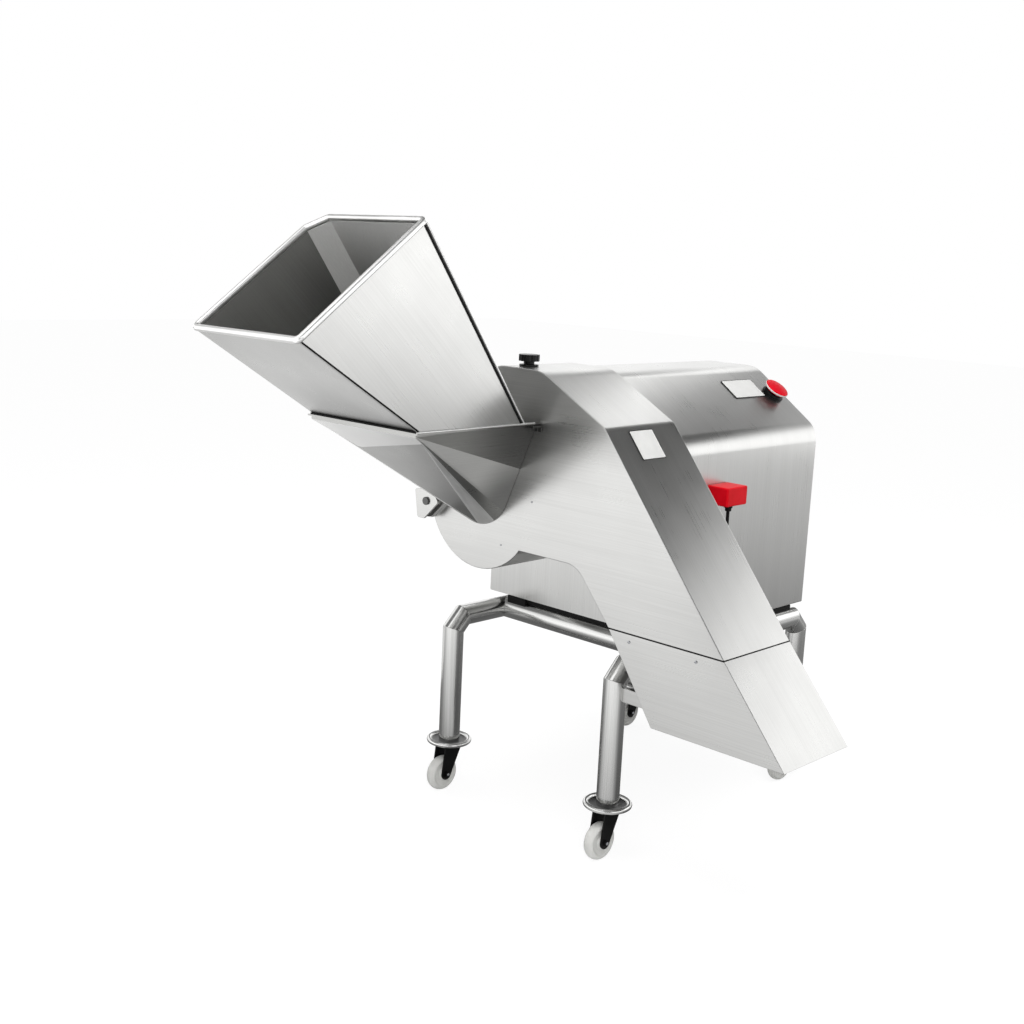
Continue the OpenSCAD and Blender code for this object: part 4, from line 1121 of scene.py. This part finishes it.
@dataclass
class BlankPlate:
    """A thin blank plate with rounded corners and a dark border, stuck to a folded sheet."""

    name: str
    centre: Vector
    normal: Vector
    length: float
    width: float
    thickness: float = 1.2 * MM
    corner: float = 5.0 * MM
    border: float = 2.2 * MM
    raised: float = 0.3 * MM

    @staticmethod
    def all_of(datum: Datum) -> tuple[BlankPlate, BlankPlate]:
        """The plates on the cabinet's slope and on the housing's band.

        Args:
            datum: The machine's zero.

        Returns:
            Both plates, not yet built.
        """
        slope, band = Vector((0.582, 0, 0.813)), Vector((0.778, 0, 0.628))
        return (
            BlankPlate("slope_plate", datum.at(285, 762, 1174), slope, 146 * MM, 74 * MM),
            BlankPlate("band_plate", datum.at(451, 124, 1079), band, 92 * MM, 84 * MM),
        )

    def build(self) -> None:
        """Models the plate and puts it on the machine."""
        bpy.ops.mesh.primitive_cube_add(size=1.0)
        piece = bpy.context.object
        piece.name = self.name
        piece.scale = (self.length, self.width, self.thickness)
        settle(piece)
        half = self.thickness / 2
        bevel_square_edges(piece, self.corner, segments=5, test=lambda middle: abs(middle.z) < half / 2)
        pick_faces(piece, lambda face: face.normal.z > LEVEL)
        with editing(piece, SelectMode.FACES):
            bpy.ops.mesh.inset(thickness=self.border)
            bpy.ops.mesh.extrude_region_move(TRANSFORM_OT_translate={"value": (0, 0, self.raised)})
        for face in piece.data.polygons:
            is_white = face.center.z > half + self.raised / 10 or face.normal.z < -LEVEL
            face.material_index = 0 if is_white else 1
        seat = Matrix.Translation(self.centre + self.normal * half)
        piece.matrix_world = seat @ facing(self.normal, BACKWARD)
        settle(piece)
        smooth(piece)
        hand_over(piece, "machine", PLATE_WHITE, BLACK_PLASTIC)


@dataclass
class StopBezel:
    """The pale ring round the rim of the stop button's head."""

    axis: Vector
    outer_share: float = 1.03
    rim_share: float = 0.96
    edge_share: float = 0.35
    height: float = 5.0 * MM
    wall: float = 5.0 * MM

    def build(self) -> None:
        """Models the ring under the head and lets it travel with the button."""
        low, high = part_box("stop_button")
        middle = (low + high) / 2
        rim = (high.y - low.y) / 2
        corners = [point.co.copy() for point in bpy.data.objects["stop_button"].data.vertices]
        edge = [point for point in corners if abs(point.y - middle.y) > rim * self.rim_share]
        level = min(self.axis.dot(point) for point in edge) + self.height / 2
        centre = sum(edge, Vector()) / len(edge)
        centre += self.axis * (level - self.axis.dot(centre))
        bpy.ops.mesh.primitive_cylinder_add(vertices=48, radius=rim * self.outer_share, depth=self.height)
        piece = bpy.context.object
        piece.name = "stop_bezel"
        bevel_square_edges(piece, self.height * self.edge_share, segments=3)
        pick_faces(piece, lambda face: abs(face.normal.z) > LEVEL)
        with editing(piece, SelectMode.FACES):
            bpy.ops.mesh.inset(thickness=self.wall)
            bpy.ops.mesh.bridge_edge_loops()
        piece.matrix_world = Matrix.Translation(centre) @ facing(self.axis, BACKWARD)
        settle(piece)
        smooth(piece)
        hand_over(piece, "stop", PLATE_WHITE)


@dataclass
class SeamShadeStrip:
    """A black rubber strip in the seam between the housing and the chute, standing in for the shade in the
    seam (painted shade).
    """

    proud: float = 0.5 * MM
    wall: float = 3.0 * MM
    height: float = 3.6 * MM
    top_left: Place = (-1, 0, 0.5)
    top_right: Place = (0.05, 0, 1)

    def build(self) -> None:
        """Models a closed ring that follows the top of the chute."""
        low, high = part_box("chute_extension")
        left = farthest("chute_extension", self.top_left).x - self.proud
        right = farthest("chute_extension", self.top_right).x + self.proud
        bpy.ops.mesh.primitive_plane_add(size=1.0)
        piece = bpy.context.object
        piece.name = "chute_seam_shade_strip"
        piece.scale = (right - left, high.y - low.y + 2 * self.proud, 1.0)
        piece.location = ((left + right) / 2, (low.y + high.y) / 2, high.z - self.height / 2)
        settle(piece)
        pick_faces(piece, lambda face: True)
        with editing(piece, SelectMode.FACES):
            bpy.ops.mesh.inset(thickness=self.wall)
            bpy.ops.mesh.delete(type="FACE")
            bpy.ops.mesh.select_all(action="SELECT")
            bpy.ops.mesh.extrude_region_move(TRANSFORM_OT_translate={"value": (0, 0, self.height)})
            bpy.ops.mesh.select_all(action="SELECT")
            bpy.ops.mesh.normals_make_consistent(inside=False)
        hand_over(piece, "machine", RUBBER)


@dataclass
class Bead:
    """A round bead along a straight edge of the hopper: a black one stands in for the shade in a seam
    (painted shade), and a bright one is a hem.
    """

    name: str
    start: Vector
    end: Vector
    radius: float
    finish: Finish
    end_share: float = 0.7
    spin_hint: Place = (0.4, 0.9, 0.1)

    def build(self) -> None:
        """Models the bead as a rod with rounded ends."""
        run = self.end - self.start
        bpy.ops.mesh.primitive_cylinder_add(vertices=16, radius=self.radius, depth=run.length)
        piece = bpy.context.object
        piece.name = self.name
        bevel_square_edges(piece, self.radius * self.end_share, segments=3)
        turn = facing(run, Vector(self.spin_hint))
        piece.matrix_world = Matrix.Translation((self.start + self.end) / 2) @ turn
        settle(piece)
        smooth(piece)
        hand_over(piece, "hopper", self.finish)


@dataclass
class HopperSeams:
    """The black beads that stand in for the shade in the seams (painted shade), and the bright hems, along
    the hopper's folded corners.
    """

    seam_r: float = 2.2 * MM
    hem_r: float = 2.6 * MM
    rear_seam_r: float = 3.4 * MM
    front_inward: Vector = field(default_factory=lambda: Vector((0, 0.85, 0.53)) * 4.5 * MM)
    rear_inward: Vector = field(default_factory=lambda: Vector((0, -0.8, -0.59)) * 7 * MM)
    aside: float = 0.2
    hem_out: float = 3.0 * MM
    hem_up: float = 1.0 * MM
    hem_short: float = 12.0 * MM
    gap_step: float = 1.5 * MM

    def build(self) -> None:
        """Models the black beads that stand in for the shade in the funnel's corner seams (painted shade),
        the hems, and the joint below them.
        """
        self.front("right", self.aside)
        self.rear()
        self.front("left", -self.aside)
        self.joint()

    def front(self, name: str, side: float) -> None:
        """Models the black bead that stands in for the shade of the seam along one of the front corners
        (painted shade).

        Args:
            name: Which side the corner is on.
            side: How far to that side the corner is looked for.
        """
        top = farthest("hopper_funnel", (side, -1, 0.3)) + self.front_inward
        low = farthest("hopper_funnel", (side, -0.55, -1)) + self.front_inward
        Bead(f"front_seam_{name}", top, low, self.seam_r, RUBBER).build()

    def rear(self) -> None:
        """Models the black bead that stands in for the shade of the seam (painted shade), and the bright hem,
        along the right rear corner.
        """
        top = farthest("hopper_funnel", (self.aside, 0.8, 1))
        low = farthest("hopper_funnel", (self.aside, 1, -0.2))
        seam_top, seam_low = top + self.rear_inward, low + self.rear_inward
        Bead("rear_seam_right", seam_top, seam_low, self.rear_seam_r, RUBBER).build()
        Bead("rear_hem_right", top, low, self.hem_r, EDGE_STEEL).build()

    def joint(self) -> None:
        """Models the bright hems, and the black bead that stands in for the shadow in the gap (painted
        shade), where the hopper meets the trough.
        """
        low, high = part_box("hopper_trough")
        inner_low, inner_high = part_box("hopper_funnel")
        level = high.z + self.hem_up
        front = low.y + self.hem_out
        for name, x in (("right", inner_high.x + self.hem_out), ("left", inner_low.x - self.hem_out)):
            start, end = Vector((x, front, level)), Vector((x, high.y - self.hem_short, level))
            Bead(f"joint_hem_{name}", start, end, self.hem_r, RIM_STEEL).build()
        start = Vector((inner_low.x, front - self.gap_step, level + self.gap_step))
        end = Vector((inner_high.x, front - self.gap_step, level + self.gap_step))
        Bead("joint_gap_front", start, end, self.seam_r, RUBBER).build()


@dataclass
class FloorStrips:
    """Rubber strips that close the gap between the tubes and the cabinet's floor, black so that they stand in
    for the shade under the cabinet (painted shade).
    """

    width: float = 16 * MM
    bite: float = 2.5 * MM
    inset: float = 30 * MM
    edge: float = 1.5 * MM

    def build(self) -> None:
        """Lays one strip along the front tube and one along each side rail."""
        low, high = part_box("cabinet_floor")
        for name, along in (("cross_tube_front", 0), ("side_rail_left", 1), ("side_rail_right", 1)):
            tube_low, tube_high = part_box(name)
            middle = (tube_low + tube_high) / 2
            start = Vector((max(low.x, tube_low.x), max(low.y, tube_low.y), tube_high.z - self.bite))
            end = Vector((min(high.x, tube_high.x), min(high.y, tube_high.y), low.z))
            across = 1 - along
            start[across] = middle[across] - self.width / 2
            end[across] = middle[across] + self.width / 2
            start[along] += self.inset
            end[along] -= self.inset
            self.lay(f"floor_strip_{name}", start, end)

    def lay(self, name: str, start: Vector, end: Vector) -> None:
        """Models one strip with broken edges between two corners.

        Args:
            name: The strip's name.
            start: Its lowest corner.
            end: Its highest corner.
        """
        bpy.ops.mesh.primitive_cube_add(size=1.0, location=(start + end) / 2)
        piece = bpy.context.object
        piece.name = name
        piece.scale = end - start
        settle(piece)
        bevel_square_edges(piece, self.edge, segments=2)
        smooth(piece)
        hand_over(piece, "machine", RUBBER)


# Studio


@dataclass(frozen=True)
class Card:
    """A card that shows only in reflections and only from its front, such as a soft box or a dark flag."""

    name: str
    centre: Place
    aim: Place
    size: Span
    low: float
    high: float
    edges: Span = (-0.5, 0.5)

    def put(self) -> None:
        """Hangs the card in the studio."""
        bpy.ops.mesh.primitive_plane_add(size=1.0)
        card = bpy.context.object
        card.name = self.name
        centre = Vector(self.centre)
        normal = (Vector(self.aim) - centre).normalized()
        turn = facing(normal, Vector((0, 0, 1)).cross(normal))
        card.matrix_world = Matrix.Translation(centre) @ turn @ Matrix.Diagonal((*self.size, 1.0, 1.0))
        card.data.materials.append(self.material())
        card.visible_camera = False
        card.visible_diffuse = False
        card.visible_shadow = False

    def material(self) -> bpy.types.Material:
        """The card's glow, from low at its lower edge to high at its upper edge.

        Returns:
            The material.
        """
        material = bpy.data.materials.new(self.name)
        material.use_nodes = True
        tree = material.node_tree
        tree.nodes.remove(tree.nodes["Principled BSDF"])
        places = add_node(tree, "TexCoord").outputs["Object"]
        height = add_node(tree, "SeparateXYZ", {"Vector": places}).outputs["Y"]
        level = map_range(tree, height, self.edges, (self.low, self.high))
        glow = add_node(tree, "Emission", {"Strength": level}).outputs["Emission"]
        clear = add_node(tree, "BsdfTransparent").outputs["BSDF"]
        behind = add_node(tree, "NewGeometry").outputs["Backfacing"]
        surface = mix_shaders(tree, behind, glow, clear)
        tree.links.new(surface, tree.nodes["Material Output"].inputs["Surface"])
        return material


@dataclass(frozen=True)
class Lamp:
    """A soft square lamp that stays out of the reflections."""

    name: str
    place: Place
    size: float
    power: float

    def hang(self, aim: Vector) -> None:
        """Hangs the lamp.

        Args:
            aim: What it points at.
        """
        data = bpy.data.lights.new(self.name, "AREA")
        data.size = self.size
        data.energy = self.power
        lamp = bpy.data.objects.new(self.name, data)
        bpy.context.scene.collection.objects.link(lamp)
        lamp.location = self.place
        lamp.visible_glossy = False
        lamp.rotation_mode = "QUATERNION"
        lamp.rotation_quaternion = (aim - Vector(self.place)).to_track_quat("-Z", "Y")


# Lamps: place in metres, side of the square face in metres, power in watts
LAMPS = (
    Lamp("overhead", (0.4, -0.6, 4.2), 3.2, 130.0),
    Lamp("key", (3.2, -3.6, 3.0), 2.2, 90.0),
)

# Cards: middle and aim in metres, width and height, glow at the lower and the upper edge
CARDS = (
    Card("strip_box", (-0.37, 1.3, 1.86), (-0.1, 0.3, 1.1), (0.24, 0.60), 1.6, 1.9),
    Card("ridge_box", (-1.2, 1.3, 2.02), (-0.15, 0.0, 1.19), (0.50, 0.46), 1.7, 1.7),
    Card("band_box", (-0.22, 1.3, 2.50), (0.1, 0.03, 1.2), (0.56, 0.40), 2.3, 2.3),
    Card("rear_flag", (0.44, 1.3, 2.02), (0.2, 0.2, 1.0), (1.17, 0.80), 0.07, 0.07),
    Card("rear_box", (0.90, 1.45, 1.20), (0.4, 0.0, 0.8), (1.40, 0.62), 1.75, 1.75),
    Card("right_box_low", (1.75, 1.95, 0.31), (0.0, 0.2, 0.31), (3.00, 0.62), 0.42, 0.85),
    Card("right_box_high", (1.75, 1.95, 1.17), (0.0, 0.2, 1.17), (3.00, 1.10), 0.50, 2.60),
    Card("left_box", (-1.75, -2.1, 0.45), (0.2, -0.11, 0.75), (2.40, 0.90), 1.15, 1.75),
    Card("under_box", (-1.6, -0.12, 0.04), (-0.4, -0.3, 1.1), (1.3, 1.35), 0.95, 0.95),
    Card("mouth_box", (-0.45, -1.15, 2.35), (-0.38, -0.55, 1.5), (1.6, 1.1), 1.6, 1.6),
    Card("camera_flag", (1.95, -2.05, 0.80), (-0.2, -0.1, 0.95), (1.50, 1.70), 0.02, 0.02),
    Card("front_flag", (0.30, -0.85, 0.62), (-0.15, -0.1, 1.0), (0.95, 0.50), 0.50, 0.50),
)


@dataclass
class Studio:
    """A pale floor, a white background, soft lights and the photograph's camera."""

    azimuth: float = 43.63
    elevation: float = 10.937
    roll: float = 2.707
    lens: float = 47.303
    sensor: float = 36.0
    sight: float = 100.0
    eye: Place = (2.0996, -2.5879, 1.5282)
    lamp_aim: Place = (0.0, 0.0, 0.9)
    floor_size: float = 40.0
    floor_colour: Colour = (0.9, 0.9, 0.9)
    floor_rough: float = 0.8
    floor_shine: float = 0.1
    floor_glow: float = 1.08
    floor_share: float = 0.82
    floor_reach: Span = (0.4, 2.6)
    floor_levels: Span = (0.35, 0.95)
    floor_front: Place = (0.336, -0.942, 0.0)
    floor_headings: Span = (-0.2, 1.0)
    floor_gains: Span = (0.35, 1.8)
    fill: float = 0.6
    wall: float = 1.3
    wall_to: float = 25.0
    ceiling: float = 0.22
    ceiling_from: float = 36.0

    def floor(self) -> None:
        """Lays the floor: white to the camera apart from the object's shadow, and in reflections a glow with
        a painted shadow round the object and painted light towards the front.
        """
        bpy.ops.mesh.primitive_plane_add(size=self.floor_size)
        floor = bpy.context.object
        floor.name = "studio_floor"
        material = bpy.data.materials.new("studio_floor")
        material.use_nodes = True
        tree = material.node_tree
        shader = tree.nodes["Principled BSDF"]
        shader.inputs["Base Color"].default_value = (*self.floor_colour, 1.0)
        shader.inputs["Roughness"].default_value = self.floor_rough
        shader.inputs["Specular IOR Level"].default_value = self.floor_shine
        path = add_node(tree, "LightPath").outputs
        share = work_out(tree, "MULTIPLY", path["Is Camera Ray"], self.floor_share)
        glow = add_node(tree, "Emission", {"Strength": self.floor_glow}).outputs["Emission"]
        seen = mix_shaders(tree, share, shader.outputs["BSDF"], glow)
        graded = add_node(tree, "Emission", {"Strength": self.floor_level(tree)}).outputs["Emission"]
        surface = mix_shaders(tree, path["Is Glossy Ray"], seen, graded)
        tree.links.new(surface, tree.nodes["Material Output"].inputs["Surface"])
        floor.data.materials.append(material)

    def floor_level(self, tree: bpy.types.NodeTree) -> bpy.types.NodeSocket:
        """How bright reflections show the floor: a painted shadow, darker near the object and brighter
        farther out, and painted light, brighter towards the front.

        Args:
            tree: The floor's node tree.

        Returns:
            The socket with the brightness.
        """
        places = add_node(tree, "TexCoord").outputs["Object"]
        away = add_node(tree, "VectorMath", {0: places}, operation="LENGTH").outputs["Value"]
        level = map_range(tree, away, self.floor_reach, self.floor_levels)
        heading = add_node(tree, "VectorMath", {0: places}, operation="NORMALIZE").outputs["Vector"]
        ends = {0: heading, 1: self.floor_front}
        ahead = add_node(tree, "VectorMath", ends, operation="DOT_PRODUCT").outputs["Value"]
        gain = map_range(tree, ahead, self.floor_headings, self.floor_gains, soft=True)
        return work_out(tree, "MULTIPLY", level, gain)

    def world(self) -> None:
        """Makes a white background whose reflection is bright round the horizon and darker overhead."""
        world = bpy.data.worlds.new("studio")
        bpy.context.scene.world = world
        world.use_nodes = True
        tree = world.node_tree
        soft = tree.nodes["Background"]
        soft.inputs["Color"].default_value = WHITE
        soft.inputs["Strength"].default_value = self.fill
        white = add_node(tree, "Background", {"Color": WHITE}).outputs["Background"]
        places = add_node(tree, "TexCoord").outputs["Generated"]
        height = add_node(tree, "SeparateXYZ", {"Vector": places}).outputs["Z"]
        low, high = (math.sin(math.radians(angle)) for angle in (self.wall_to, self.ceiling_from))
        level = map_range(tree, height, (low, high), (self.wall, self.ceiling), soft=True)
        room = add_node(tree, "Background", {"Color": WHITE, "Strength": level}).outputs["Background"]
        path = add_node(tree, "LightPath").outputs
        mirrored = mix_shaders(tree, path["Is Glossy Ray"], soft.outputs["Background"], room)
        seen = mix_shaders(tree, path["Is Camera Ray"], mirrored, white)
        tree.links.new(seen, tree.nodes["World Output"].inputs["Surface"])

    def camera(self) -> None:
        """Sets the camera at the photograph's place and turn."""
        data = bpy.data.cameras.new("photo_camera")
        data.lens = self.lens
        data.sensor_width = self.sensor
        data.clip_end = self.sight
        camera = bpy.data.objects.new("photo_camera", data)
        bpy.context.scene.collection.objects.link(camera)
        side, rise = math.radians(self.azimuth), math.radians(self.elevation)
        look = Vector((-math.sin(side) * math.cos(rise), math.cos(side) * math.cos(rise), -math.sin(rise)))
        turn = look.to_track_quat("-Z", "Y").to_matrix() @ Matrix.Rotation(math.radians(self.roll), 3, "Z")
        camera.matrix_world = Matrix.Translation(self.eye) @ turn.to_4x4()
        bpy.context.scene.camera = camera

    def build(self) -> None:
        """Sets up the whole studio."""
        bpy.context.scene.view_settings.view_transform = "Standard"
        self.camera()
        self.floor()
        self.world()
        for lamp in LAMPS:
            lamp.hang(Vector(self.lamp_aim))
        for card in CARDS:
            card.put()


def main() -> None:
    """Builds the studio and the pieces in order."""
    logging.basicConfig(level=logging.INFO, format="%(name)s: %(message)s")
    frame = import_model()
    datum = Datum()
    press = next(joint for joint in frame["joints"] if joint["name"] == "stop_press")
    Studio().build()
    FrameDresser().dress()
    Screws(datum).drive_all()
    StopBezel(-Vector(press["axis"])).build()
    SeamShadeStrip().build()
    HopperSeams().build()
    FloorStrips().build()
    for plate in BlankPlate.all_of(datum):
        plate.build()


if __name__ == "__main__":
    main()
